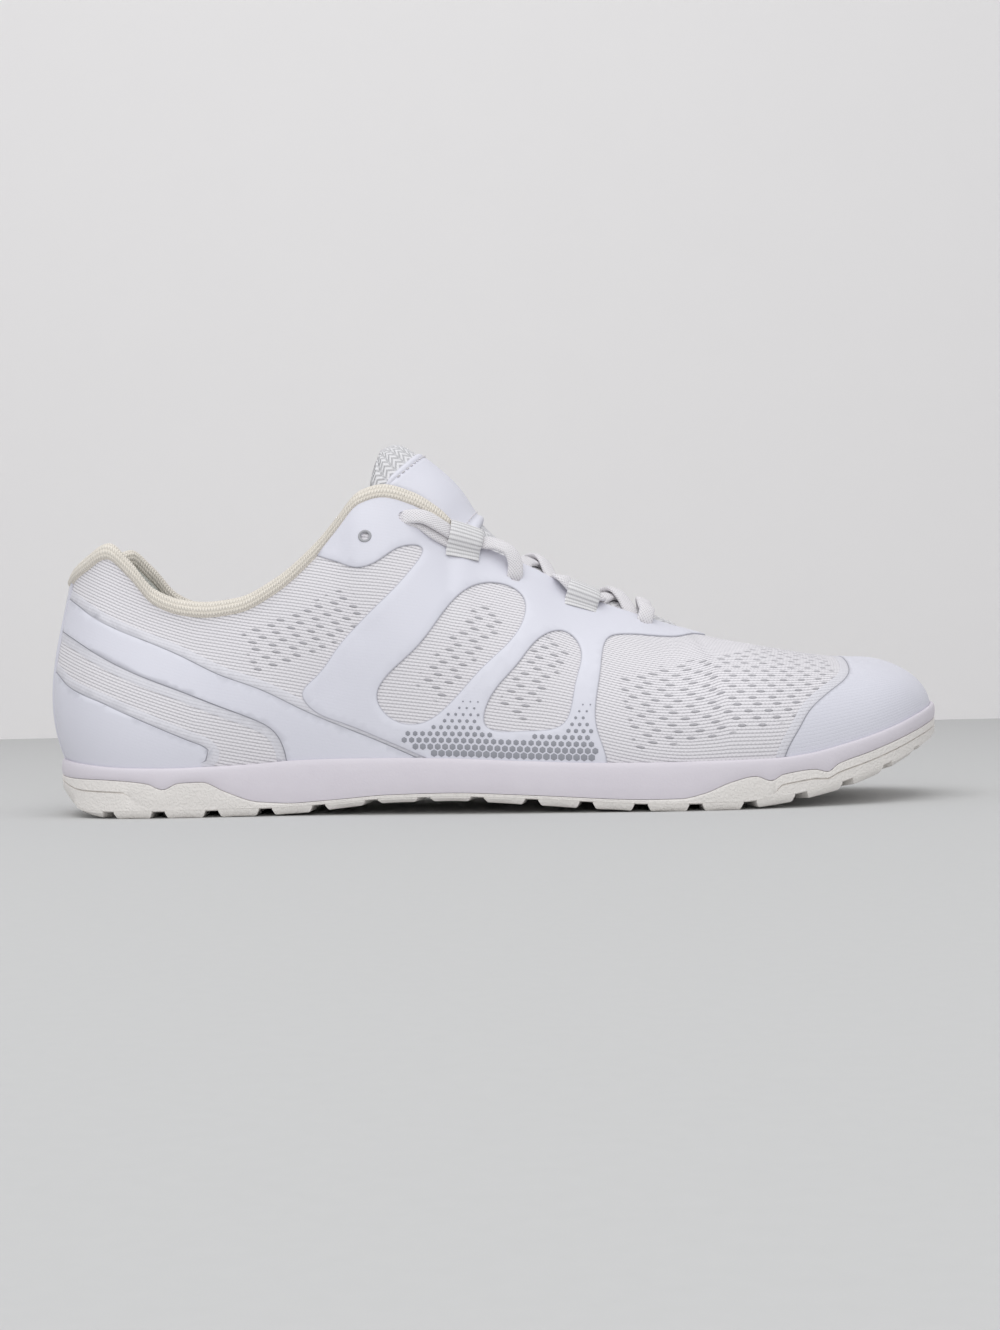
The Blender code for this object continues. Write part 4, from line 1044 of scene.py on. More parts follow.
def wall_body(steps, rises, outer, inner, masks=None):
    """Closed layer all round the upper between two lifts; inner and masks are worked out by place."""
    tops, bottoms, sheets = [], [], []
    for side, shares in ring_places(steps):
        s, r = np.meshgrid(shares, rises, indexing="ij")
        tops.append(on_face(side, s, r, outer))
        bottoms.append(on_face(side, s, r, inner(s, r)))
        sheets.append(sheet_place(side, s, r))
    columns = sum(len(top) for top in tops)
    top, bottom = (np.concatenate(parts).reshape(-1, 3) for parts in (tops, bottoms))
    sheet = np.concatenate(sheets).reshape(-1, 2)
    return thick(top, bottom, ring_faces(columns, len(rises)), sheet, masks(top) if masks else None)


def turns_left(loop):
    ahead = np.roll(loop, -1, axis=0)
    return (loop[:, 0] * ahead[:, 1] - ahead[:, 0] * loop[:, 1]).sum() > 0


def make_upper(cloth):
    rises = np.concatenate([[-1.0], np.linspace(0, 1, 62)])
    body = wall_body(230, rises, 0.0, lambda s, r: -MESH_THICKNESS, cloth_masks)
    make_piece("upper_mesh", body, cloth, "mesh", "upper")


def ring_faces(columns, rows):
    """Quads round a closed ring of columns whose points run column by column."""
    faces = []
    for c in range(columns):
        n = (c + 1) % columns
        faces += [(c * rows + r, c * rows + r + 1, n * rows + r + 1, n * rows + r) for r in range(rows - 1)]
    return faces


def make_lining(cloth):
    """Inner face of the upper, padded round the heel and the ankle."""
    def inner(s, r):
        pad = soft_step(r, 0.45, 0.8) * soft_step(r, 1.02, 0.9) * soft_step(s, *PADDING_FADE) * ANKLE_PADDING
        return -WALL - pad

    rises = np.concatenate([[-1.0], np.linspace(0, 1, 40)])
    make_piece("upper_lining", wall_body(150, rises, -LINING_DEPTH, inner), cloth, "lining")


def collar_frames():
    """Middle of the binding along the collar, its outward and upward directions and its height."""
    shares = np.arange(0, BINDING_END + 0.012, 0.004)
    frames = []
    for side, run in ((LATERAL, shares[:0:-1]), (MEDIAL, shares)):
        edge = on_face(side, run, np.ones(len(run)))
        normal = unit(on_face(side, run, np.ones(len(run)), MM) - edge)
        up = edge - on_face(side, run, np.full(len(run), 0.97))
        up = unit(up - normal * (up * normal).sum(axis=1, keepdims=True))
        height = (BINDING_HEIGHT * binding_share(run))[:, None]
        frames.append((edge + up * height / 2 - normal * WALL / 2, normal, up, height))
    return [np.concatenate(parts) for parts in zip(*frames)]


def make_binding(knit):
    """Knitted bead round the collar, a little fuller than its solid."""
    place, normal, up, height = collar_frames()
    body = tube(place + normal * BEAD_SWELL, -up * (height / 2 + BEAD_SWELL),
                normal * (BINDING_THICKNESS / 2 + BEAD_THICKENING), rounded_profile(24, 0.85))
    make_piece("collar_knit", body, knit, "knit", "collar_binding")


def ring_at(inset, height, steps):
    """Ring round the sole at an inset; height turns a place along the shoe into a height."""
    parts = []
    for side, shares in ring_places(steps):
        point, _ = plan(side, shares, inset)
        parts.append(stand(point, height(point[:, 0])))
    return np.concatenate(parts)


def ring_body(rings):
    """Closed body through equal rings, with a ladder across its first and last ring."""
    count = len(rings[0])
    half = count // 2
    faces = grid_faces(len(rings), count, closed=True)
    for start, order in ((0, 1), ((len(rings) - 1) * count, -1)):
        end = start + count
        ladder = [(start, start + 1, end - 1)]
        ladder += [(start + i, start + i + 1, end - i - 1, end - i) for i in range(1, half - 1)]
        ladder.append((start + half - 1, start + half, start + half + 1))
        faces += [face[::order] for face in ladder]
    around = chords(rings[0])
    levels = chords(np.array([ring[0] for ring in rings]))
    sheet = np.stack(np.broadcast_arrays(around[None, :], levels[:, None]), axis=-1).reshape(-1, 2)
    return as_body(np.concatenate(rings), faces, sheet)


def level(name, rise):
    """Height of one line of the sole, raised, as a function of the place along the shoe."""
    return lambda x: sole_height(name, x) + rise


def rings_at(steps, *rows):
    """Rings round the sole; each row gives an inset, a line of the sole and a rise over it."""
    return [ring_at(inset, level(name, rise), steps) for inset, name, rise in rows]


def between(t):
    """Height on the midsole's side, from the rubber's rim to its own edge."""
    return lambda x: blend(sole_height("rim", x) + 0.1 * MM, sole_height("edge", x), t)


def make_midsole(foam):
    steps = 240
    rings = rings_at(steps, (RIM + 0.9 * MM, "web", GAP), (RIM + GAP, "rim", GAP),
                     (0.8 * MM, "rim", 0.05 * MM))
    rings += [ring_at(inset * MM, between(t), steps) for t, inset in MIDSOLE_SIDE]
    rings += rings_at(steps, (RAND * 0.8, "edge", 0.05 * MM), (RAND, "edge", -0.2 * MM),
                      (RAND, "edge", -TUCK), (LEDGE, "edge", -TUCK), (LEDGE + TRAY_SLOPE, "bed", 0.0))
    make_piece("midsole_foam", ring_body(rings), foam, "foam", "midsole")


def make_insole(cloth):
    inset = LEDGE + TRAY_SLOPE + GAP
    top = [(inset + further, "bed", INSOLE - drop) for further, drop in INSOLE_TOP]
    rings = rings_at(160, (inset, "bed", GAP), *top)
    make_piece("insole_cloth", ring_body(rings), cloth, "lining", "insole")


# Side of the midsole: share of the height from rim to edge, inset in millimetres
MIDSOLE_SIDE = ((0.00, 0.10), (0.10, -0.12), (0.35, -0.25), (0.65, -0.20), (0.85, 0.0), (0.94, 0.22),
                (1.0, 0.62))
# Top of the insole: further inset and drop
INSOLE_TOP = ((0.0, 0.5 * MM), (0.3 * MM, 0.0), (2 * MM, 0.0), (8 * MM, 0.6 * MM), (16 * MM, 0.8 * MM))

# Tread: rows of lugs along the sole, by share of the feather line
LUG_ROWS = 18
TREAD_START = 0.080
TREAD_END = 0.955
LUG_GAP = 0.25
EDGE_LUG_DEPTH = 15.0 * MM
INNER_LUG_WIDTH = 30 * MM
LUG_CHAMFER = 1.4 * MM
GROOVE_DEPTH = 0.7 * MM


def lug_body(corners):
    """Block of rubber with sloped sides and a chamfered tip, from a polygon in plan."""
    corners = np.array(corners)
    middle = corners.mean(axis=0)
    reach = np.linalg.norm(corners - middle, axis=1, keepdims=True)
    rings = []
    for inset, line, rise in ((0.0, "underside", RUBBER * 0.5), (0.0, "underside", -0.2 * MM),
                              (LUG_CHAMFER * 0.7, "tips", 0.35 * MM), (LUG_CHAMFER + 0.2 * MM, "tips", 0.0)):
        place = middle + (corners - middle) * (1 - inset / reach)
        rings.append(stand(place, sole_height(line, place[:, 0]) + rise))
    count = len(corners)
    faces = [face[::-1] for face in grid_faces(len(rings), count, closed=True)]
    faces += [tuple(range(count)), tuple(range(len(rings) * count - 1, (len(rings) - 1) * count - 1, -1))]
    points = np.concatenate(rings)
    return as_body(points, faces, points[:, :2])


def tread_lugs():
    """Two lugs at the edges in each row, and one or more between them as the sole's width allows."""
    lugs = []
    pitch = (TREAD_END - TREAD_START) / LUG_ROWS
    for row in range(LUG_ROWS):
        first = TREAD_START + row * pitch
        last = first + pitch * (1 - LUG_GAP)
        for side in SIDES:
            outer = plan(side, np.linspace(first, last, 6), 0.15 * MM)[0]
            inner = plan(side, np.linspace(last, first, 4), EDGE_LUG_DEPTH)[0]
            lugs.append(lug_body(np.concatenate([outer, inner])[::-side]))
        lateral, medial = (plan(side, np.array((first, last)), EDGE_LUG_DEPTH + 3 * MM)[0] for side in SIDES)
        columns = max(1, round(np.linalg.norm(lateral[0] - medial[0]) / INNER_LUG_WIDTH))
        for column in range(columns):
            low, high = (column + 0.08) / columns, (column + 0.92) / columns
            rear, front = ([blend(lateral[end], medial[end], t) for t in (low, high)] for end in (0, 1))
            lugs.append(lug_body([rear[0], front[0], front[1], rear[1]]))
    return lugs


def groove_line(x):
    """How far up the rubber's side the groove runs, and its depth: at the heel insert and the toe."""
    along = x / LENGTH
    heel, toe = soft_step(along, 0.105, 0.085), soft_step(along, 0.785, 0.800)
    level_share = 0.12 + 0.52 * soft_step(along, 0.118, 0.092) + 0.42 * toe
    return level_share, (heel + toe) * GROOVE_DEPTH


def make_outsole(rubber):
    steps = 360

    def wall(offset, inset):
        """Ring on the rubber's side at an offset from the groove's middle."""
        def height(x):
            share, _ = groove_line(x)
            low, high = sole_height("underside", x) + 0.7 * MM, sole_height("rim", x) - 0.55 * MM
            return blend(low, high, np.clip(share, 0, 1)) + offset
        parts = []
        for side, shares in ring_places(steps):
            point, outward = plan(side, shares, inset)
            _, depth = groove_line(point[:, 0])
            parts.append(stand(point - outward * (depth * (offset == 0))[:, None], height(point[:, 0])))
        return np.concatenate(parts)

    rings = rings_at(steps, (1.6 * MM, "underside", 0.0), (0.35 * MM, "underside", 0.2 * MM),
                     (0.05 * MM, "underside", 0.45 * MM))
    rings += [wall(-0.32 * MM, -0.1 * MM), wall(0.0, -0.05 * MM), wall(0.32 * MM, -0.15 * MM)]
    rings += rings_at(steps, (-0.1 * MM, "rim", -0.40 * MM), (0.12 * MM, "rim", -0.12 * MM),
                      (0.5 * MM, "rim", 0.0), (RIM, "rim", 0.0), (RIM + 0.6 * MM, "web", 0.0))
    body = join([ring_body(rings)] + tread_lugs())
    make_piece("outsole_rubber", body, rubber, "rubber", "outsole", sharp=35)


# Tongue and what lies on it

def tucked_row(share, crown, low_rise, columns):
    """Points across the tongue under the throat's edges, on a smooth curve over its middle."""
    depth = -(WALL + 5 * GAP)
    rises = np.array((low_rise, (low_rise + 1) / 2, 1.0))
    shares = np.full(3, share)
    top = top_points(LATERAL, np.array([share]))[0]
    middle = np.array([[top[0] - LENGTH / 2, 0, top[2] + crown * COLLAR_WIDTH / 2]])
    lateral, medial = on_face(LATERAL, shares, rises, depth), on_face(MEDIAL, shares, rises[::-1], depth)
    line = np.concatenate([lateral, middle, medial])
    chord = chords(line)
    return spline(chord, line, chord[-1] * (columns + 1) / 2)


def free_row(along, height, half_width, back, drop, columns):
    """Points across the tongue where it stands free above the laces."""
    half = COLLAR_WIDTH / 2
    bow = np.abs(columns) ** 2.2 * half
    return np.stack([along * LENGTH - back * bow - LENGTH / 2, columns * half_width * half,
                     height * INSTEP_HEIGHT - drop * bow], axis=1)


TONGUE_COLUMNS = np.linspace(-1, 1, 49)
TONGUE_ROWS = 90
TONGUE_END_PADDING = 3.2
TONGUE_ROUND = 0.87
TONGUE_WIDTH_ROW = 60

# Patch on the tongue: its first and last row of the tongue's grid, and its share of the half width
PATCH_ROWS = (58.0, 80.0)
PATCH_HALF = 0.93
PATCH_POINTS = 60
PATCH_CORNER = 0.12
PATCH_THICKNESS = 0.8 * MM

# Rows of stitches on the patch: place from its lower end at -1 to its top at 1, reach across
STITCH_LINES = ((0.86, 0.86), (-0.74, 0.90))
STITCHES = 22
THREAD_RADIUS = 0.22 * MM


def tongue_face():
    """Outer face of the tongue and its outward directions, as fine grids with a round free end."""
    rows = [tucked_row(*row, TONGUE_COLUMNS) for row in TUCKED_ROWS]
    rows += [free_row(*row, TONGUE_COLUMNS) for row in FREE_ROWS]
    rows = np.array(rows)
    chord = chords(rows[:, len(TONGUE_COLUMNS) // 2])
    at = np.linspace(0, chord[-1], TONGUE_ROWS)
    grid = np.stack([spline(chord, rows[:, c], at) for c in range(rows.shape[1])], axis=1)
    last, half = TONGUE_ROWS - 1, (len(TONGUE_COLUMNS) - 1) / 2
    ahead = np.clip((np.arange(TONGUE_ROWS) / last - TONGUE_ROUND) / (1 - TONGUE_ROUND), 0, 1)[:, None]
    across = TONGUE_COLUMNS[None, :]
    row = np.minimum(np.arange(TONGUE_ROWS), TONGUE_ROUND * last)[:, None] * np.ones(across.shape)
    row += ahead * np.sqrt(1 - across ** 2 / 2) * (1 - TONGUE_ROUND) * last
    column = half + across * np.sqrt(1 - ahead ** 2 / 2) * half
    return read_grid(grid, row, column), unit(read_grid(grid_normals(grid), row, column))


def grid_normals(grid):
    along, over = np.gradient(grid, axis=0), np.gradient(grid, axis=1)
    return unit(np.cross(over, along))


def make_tongue(knit):
    """Padded knit tongue, thicker and rounded at its free end."""
    face, outward = tongue_face()
    rows = np.linspace(0, 1, TONGUE_ROWS)
    edge = np.abs(TONGUE_COLUMNS)
    padding = blend(1.0, TONGUE_END_PADDING, soft_step(rows, 0.60, 0.88))[:, None]
    thickness = TONGUE_THICKNESS * padding * (1 - 0.6 * edge ** 3)[None, :]
    rounding = np.sqrt(np.clip(np.minimum(rows / 0.03, (1 - rows) / 0.10), 0.02, 1))[:, None]
    back = face - outward * (thickness * rounding)[..., None]
    length, width = chords(face[:, len(TONGUE_COLUMNS) // 2]), chords(face[TONGUE_WIDTH_ROW])
    sheet = np.stack(np.broadcast_arrays(width[None, :], length[:, None]), axis=-1).reshape(-1, 2)
    body = thick(face.reshape(-1, 3), back.reshape(-1, 3), grid_faces(*face.shape[:2]), sheet)
    body["masks"]["inner"] = np.repeat((0.0, 1.0), len(body["points"]) // 2)
    make_piece("tongue_knit", body, knit, "tongue", "tongue")
    return face, outward


def make_tongue_patch(face, outward, film, thread):
    """Patch sewn on the free part of the tongue, with a folded hem at its lower end."""
    half = (len(TONGUE_COLUMNS) - 1) / 2

    def cells(u, v):
        """Rows and columns of the tongue's grid at shares of the patch from -1 to 1."""
        return blend(*PATCH_ROWS, (v + 1) / 2), half + u * PATCH_HALF * half

    steps = np.linspace(-1, 1, PATCH_POINTS)
    u, v = np.meshgrid(steps, steps)
    corner = PATCH_CORNER
    squeeze = 1 - corner * ((np.clip(np.abs(v), 1 - corner, 1) - 1 + corner) / corner) ** 2
    place = cells(u * squeeze, v)
    base, normal = read_grid(face, *place), read_grid(outward, *place)
    edge = np.minimum((1 - np.abs(u)) * 1.4, 1 - np.abs(v))
    hem = 0.7 * MM * soft_step(v, -0.80, -0.88)
    dent = 0.35 * MM * soft_step(np.abs(v - 0.86), 0.05, 0.0)
    lift = GAP + PATCH_THICKNESS * soft_step(edge, -0.02, 0.06) + (hem - dent) * soft_step(edge, 0.0, 0.05)
    top, bottom = base + normal * lift[..., None], base + normal * 0.05 * MM
    sheet = np.stack([u, v], axis=-1).reshape(-1, 2) * 10 * MM
    body = thick(top.reshape(-1, 3), bottom.reshape(-1, 3), grid_faces(*u.shape), sheet)
    make_piece("tongue_patch_film", body, film, "film", "tongue_patch")
    stitches = []
    for v_line, across in STITCH_LINES:
        ends = np.linspace(-across, across, 2 * STITCHES + 1)
        for first, last in zip(ends[::2], ends[1::2]):
            place = cells(np.linspace(first, last, 5), np.full(5, v_line))
            out = read_grid(outward, *place)
            path = read_grid(face, *place) + out * (GAP + PATCH_THICKNESS)
            path += out * (0.18 * MM * (1 - np.linspace(-1, 1, 5) ** 2))[:, None]
            over = unit(np.cross(unit(np.gradient(path, axis=0)), out))
            stitches.append(tube(path, over * THREAD_RADIUS, out * THREAD_RADIUS, rounded_profile(6, 1.0)))
    make_piece("tongue_stitches", join(stitches), thread, "lace")


# Laces and webbing

def rounded_path(points, spacing):
    """Smooth path through the points without overshoot, at about even steps."""
    points = np.array(points)
    chord = chords(points)
    steps = np.diff(chord)
    slopes = np.diff(points, axis=0) / steps[:, None]
    ways = np.concatenate([slopes[:1], (slopes[:-1] * steps[1:, None] + slopes[1:] * steps[:-1, None])
                           / (steps[:-1] + steps[1:])[:, None], slopes[-1:]])
    at = np.linspace(0, chord[-1], max(4, round(chord[-1] / spacing)))
    k = np.clip(np.searchsorted(chord, at) - 1, 0, len(points) - 2)
    h = steps[k][:, None]
    t = (at - chord[k])[:, None] / h
    return hermite(points[k], points[k + 1], ways[k], ways[k + 1], h, t), at, chord


def face_spots(side, rows):
    """Points over the upper from rows of share, rise and lift."""
    return [face_spot(side, *row) for row in rows]


def ribbon(points, normals, width, thickness, spacing=0.8 * MM):
    """Flat lace or webbing along a path whose flat side faces the given normals."""
    path, at, chord = rounded_path(points, spacing)
    facing = np.stack([np.interp(at, chord, np.array(normals)[:, i]) for i in range(3)], axis=1)
    ahead = unit(np.gradient(path, axis=0))
    across = unit(np.cross(ahead, facing))
    up = np.cross(across, ahead)
    return tube(path, across * width / 2, up * thickness / 2, rounded_profile(14, 0.7))


def face_spot(side, share, rise, lift):
    """Point over the upper and the outward direction there."""
    spot = on_face(side, np.array([share]), np.array([rise]), lift)[0]
    return spot, unit(on_face(side, np.array([share]), np.array([rise]), lift + MM)[0] - spot)


def tongue_spot(face, outward, x, across, lift):
    """Point over the tongue at a place along the shoe and a share of its width."""
    column = int(round((across + 1) / 2 * (len(TONGUE_COLUMNS) - 1)))
    line = face[:, column]
    row = int(np.argmin(np.abs(line[:, 0] - x)))
    return line[row] + outward[row, column] * lift, outward[row, column]


def lace_route(side, face, outward, over):
    """One strand from the front eyelet of a side to its middle eyelet, by way of the other side's loop."""
    def across_tongue(start, end, rows):
        return [tongue_spot(face, outward, blend(start, end, part), side * across, LACE_HALF + lift)
                for across, part, lift in rows]

    front_share, middle_share = eyelet_spot(side, "front")[0], eyelet_spot(side, "middle")[0]
    low_share = LOOPS["low"]
    front, low, middle = (face_point(side, share, 1.0)[0] for share in (front_share, low_share, middle_share))
    spots = [face_spot(side, front_share - 0.006, 0.97, -WALL - LACE_HALF)]
    spots += across_tongue(front, low, ((0.45, 0.2, 0.4 * MM), (0.0, 0.5, 0.4 * MM + over),
                                        (-0.45, 0.8, 0.8 * MM)))
    spots += face_spots(-side, [(low_share + ahead, rise, lift * MM + LACE_HALF)
                                for ahead, rise, lift in LOW_LOOP_WAY])
    spots += across_tongue(low, middle, ((-0.45, 0.4, 1.2 * MM), (0.0, 0.65, 2.2 * MM - over),
                                         (0.45, 0.88, 0.4 * MM)))
    spots.append(face_spot(side, middle_share + 0.010, 0.97, -WALL - LACE_HALF))
    return spots


def side_route(side):
    """The strand out of the middle eyelet, over the edge, through the high loop and in at the top."""
    share, rise = eyelet_spot(side, "middle")
    top_share, top_rise = eyelet_spot(side, "top")
    high = LOOPS["high"]
    return face_spots(side, (
        (share, rise, -WALL - LACE_HALF),
        (share, rise, 0.2 * MM),
        (share - 0.002, rise + 0.045, 2.2 * MM + LACE_HALF),
        (share - 0.010, 0.985, 3.4 * MM + LACE_HALF),
        (share - 0.022, 1.0, 2.8 * MM + LACE_HALF),
        (high + 0.014, 0.992, 1.4 * MM + LACE_HALF),
        (high - 0.010, 0.972, 1.2 * MM + LACE_HALF),
        (blend(top_share, high, 0.55), 0.955, 2.2 * MM + LACE_HALF),
        (top_share + 0.014, blend(top_rise, 0.955, 0.6), 2.0 * MM + LACE_HALF),
        (top_share + 0.004, top_rise + 0.005, 0.9 * MM),
        (top_share - 0.001, top_rise, -0.4 * MM),
        (top_share, top_rise, -WALL - LACE_HALF),
    ))


def under_strand(side):
    """Second layer of lace under the top stretch, from the high loop to the top eyelet."""
    share, rise = eyelet_spot(side, "top")
    high = LOOPS["high"]
    return face_spots(side, (
        (high + 0.004, 0.955, 0.3 * MM + LACE_HALF),
        (high - 0.014, 0.945, 0.3 * MM + LACE_HALF),
        (blend(share, high, 0.5), 0.928, 0.4 * MM + LACE_HALF),
        (share + 0.012, rise + 0.004, 0.5 * MM),
        (share + 0.003, rise, -0.3 * MM),
        (share + 0.002, rise, -WALL - LACE_HALF),
    ))


def front_bar(face, outward):
    """The straight stretch between the front eyelets."""
    ends = []
    for side in SIDES:
        share, rise = eyelet_spot(side, "front")
        rows = ((rise, -WALL - LACE_HALF), (rise, 0.3 * MM), (rise + 0.035, 2.0 * MM + LACE_HALF),
                (1.0, 2.6 * MM + LACE_HALF))
        ends.append(face_spots(side, [(share, *row) for row in rows]))
    x = face_point(LATERAL, eyelet_spot(LATERAL, "front")[0], 1.0)[0]
    over = [tongue_spot(face, outward, x, across, LACE_HALF + 2.2 * MM) for across in (-0.35, 0.0, 0.35)]
    return ends[0] + over + ends[1][::-1]


def make_laces(face, outward, cloth):
    routes = [front_bar(face, outward)]
    for side, over in ((LATERAL, 2.2 * MM), (MEDIAL, 0.0)):
        routes += [lace_route(side, face, outward, over), side_route(side), under_strand(side)]
    bodies = [ribbon(*zip(*spots), LACE_WIDTH, LACE_THICKNESS) for spots in routes]
    make_piece("lace_cloth", join(bodies), cloth, "lace", "lace")


def make_rings(paint):
    """Small ring round the spare eyelet of each side."""
    bodies = []
    turns = np.linspace(0, math.tau, 33)
    for side in SIDES:
        spot, normal = face_spot(side, *eyelet_spot(side, "spare"), SADDLE_LIFT + RING_SEAT)
        out = directions_round(normal, turns)
        bodies.append(tube(spot + out * RING_RADIUS, out * RING_HALF_WIDTH,
                           np.tile(normal * RING_HALF_HEIGHT, (len(turns), 1)), rounded_profile(10, 1.0)))
    make_piece("spare_eyelet_rings", join(bodies), paint, "film")


def make_loops(cloth):
    """Webbing folded round the lace at the throat's edge."""
    over = 1.7 * MM + LACE_THICKNESS
    for side, word in ((LATERAL, "lateral"), (MEDIAL, "medial")):
        for name, share in LOOPS.items():
            inner, _ = face_spot(side, share, 0.99, -WALL - 0.6 * MM)
            rows = ((LOOP_ROOT - 0.02, 0.45 * MM), (LOOP_ROOT + 0.01, 0.9 * MM), (0.945, over),
                    (0.985, over + 0.3 * MM))
            spots = face_spots(side, [(share, *row) for row in rows])
            edge, normal = face_spot(side, share, 1.0, over)
            rise_way = unit(edge - face_spot(side, share, 0.97, over)[0])
            spots += [(edge + rise_way * 2.2 * MM - normal * 0.8 * MM, unit(normal + rise_way * 0.8)),
                      (edge + rise_way * 3.2 * MM - normal * 3.0 * MM, unit(rise_way)),
                      (inner + rise_way * 1.0 * MM, unit(rise_way - normal))]
            body = ribbon(*zip(*spots), LOOP_WIDTH, LOOP_THICKNESS, spacing=0.5 * MM)
            make_piece(f"webbing_{name}_{word}", body, cloth, "webbing", f"loop_{name}_{word}")


# Materials. Tones as linear colours: two that change gently over the piece, then painted shade for the mesh's
# furrows and vents, the film's own paler border and its line of painted shade, and painted shade for the
# knit's hollows; the four cloths below go from low to high, the low tone being painted shade in the hollows
# of their weave

MESH_COLOURS = ((0.835, 0.81, 0.84), (0.87, 0.845, 0.87), (0.52, 0.505, 0.535), (0.40, 0.39, 0.42))
FILM_COLOURS = ((0.715, 0.712, 0.785), (0.745, 0.742, 0.81), (0.75, 0.738, 0.775), (0.12, 0.12, 0.145))
FOAM_COLOURS = ((0.70, 0.655, 0.71), (0.735, 0.695, 0.745))
RUBBER_COLOURS = ((0.82, 0.785, 0.75), (0.86, 0.825, 0.79))
KNIT_COLOURS = ((0.93, 0.87, 0.78), (0.90, 0.84, 0.75), (0.74, 0.67, 0.56))
RING_COLOURS = ((0.34, 0.34, 0.36), (0.42, 0.42, 0.44))
MOTIF_COLOURS = ((0.28, 0.285, 0.325), (0.33, 0.335, 0.37))
LINING_COLOURS = ((0.56, 0.57, 0.53), (0.72, 0.72, 0.67))
TONGUE_COLOURS = ((0.62, 0.615, 0.63), (0.84, 0.83, 0.845))
TONGUE_BACK = (0.58, 0.58, 0.56)
LACE_COLOURS = ((0.60, 0.58, 0.60), (0.86, 0.835, 0.855))
WEBBING_COLOURS = ((0.54, 0.53, 0.54), (0.83, 0.82, 0.825))


class Nodes:
    """One material's nodes; inputs may be plain values or other nodes' outputs."""

    def __init__(self, name, **shader):
        self.material = bpy.data.materials.new(name)
        self.material.use_nodes = True
        self.tree = self.material.node_tree
        self.shader = self.tree.nodes["Principled BSDF"]
        for socket, value in shader.items():
            self.shader.inputs[socket.replace("_", " ")].default_value = value

    def put(self, socket, value):
        if isinstance(value, bpy.types.NodeSocket):
            self.tree.links.new(value, socket)
        elif value is not None:
            socket.default_value = value

    def add(self, kind, *inputs, output=0, **settings):
        made = self.tree.nodes.new("ShaderNode" + kind)
        for name, value in settings.items():
            setattr(made, name, value)
        for socket, value in zip(made.inputs, inputs):
            self.put(socket, value)
        return made.outputs[output]

    def math(self, operation, *inputs):
        return self.add("Math", *inputs, operation=operation)

    def times(self, a, b):
        return self.math("MULTIPLY", a, b)

    def plus(self, a, b):
        return self.math("ADD", a, b)

    def rest(self, value):
        return self.math("SUBTRACT", 1.0, value)

    def whole(self, value, pitch):
        """How many whole pitches a value has passed."""
        return self.math("FLOOR", self.math("DIVIDE", value, pitch))

    def part(self, value, pitch):
        """How far a value is into its pitch, from 0 to 1."""
        return self.math("FRACT", self.math("DIVIDE", value, pitch))

    def step(self, value, low, high):
        """0 to 1 as the value goes from low to high, smoothly."""
        return self.add("MapRange", value, low, high, 0.0, 1.0, interpolation_type="SMOOTHSTEP")

    def mix(self, share, a, b):
        made = self.tree.nodes.new("ShaderNodeMix")
        made.data_type = "RGBA"
        self.put(made.inputs[0], share)
        for socket, value in ((made.inputs[6], a), (made.inputs[7], b)):
            self.put(socket, (*value, 1.0) if isinstance(value, tuple) else value)
        return made.outputs[2]

    def mask(self, name):
        return self.add("Attribute", attribute_name=name, output=2)

    def sheet(self):
        """The two flat coordinates in millimetres."""
        flat = self.add("UVMap", uv_map="sheet")
        parts = self.tree.nodes.new("ShaderNodeSeparateXYZ")
        self.tree.links.new(flat, parts.inputs[0])
        return self.times(parts.outputs[0], 1000.0), self.times(parts.outputs[1], 1000.0)

    def noise(self, size, detail=2.0):
        """Even noise with features of a size in millimetres."""
        place = self.add("TexCoord", output=3)
        return self.add("TexNoise", place, None, 1000.0 / size, detail)

    def wave(self, value, pitch):
        """0 to 1 and back over each pitch, with a sharp valley."""
        return self.math("SINE", self.times(self.part(value, pitch), math.pi))

    def colour(self, value):
        self.put(self.shader.inputs["Base Color"], (*value, 1.0) if isinstance(value, tuple) else value)

    def bump(self, height, depth):
        """Relief from a height of 0 to 1 and its depth in millimetres."""
        made = self.tree.nodes.new("ShaderNodeBump")
        made.inputs["Distance"].default_value = depth * MM
        self.put(made.inputs["Height"], height)
        self.tree.links.new(made.outputs[0], self.shader.inputs["Normal"])


RIB_PITCH, STITCH_PITCH = 1.05, 1.3
VENT_PITCH, VENT_ROW, VENT_HALF_LENGTH, VENT_HALF_HEIGHT = 6.3, 2.1, 1.35, 0.44


def rib_height(n, u, v):
    """Knitted ribs with a narrow furrow between them and small stitches along each."""
    row = n.whole(v, RIB_PITCH)
    stitches = n.wave(n.plus(u, n.times(row, STITCH_PITCH * 0.5)), STITCH_PITCH)
    rib = n.step(n.wave(n.plus(v, n.times(stitches, 0.16)), RIB_PITCH), 0.0, 0.75)
    return n.times(rib, n.plus(0.72, n.times(stitches, 0.28)))


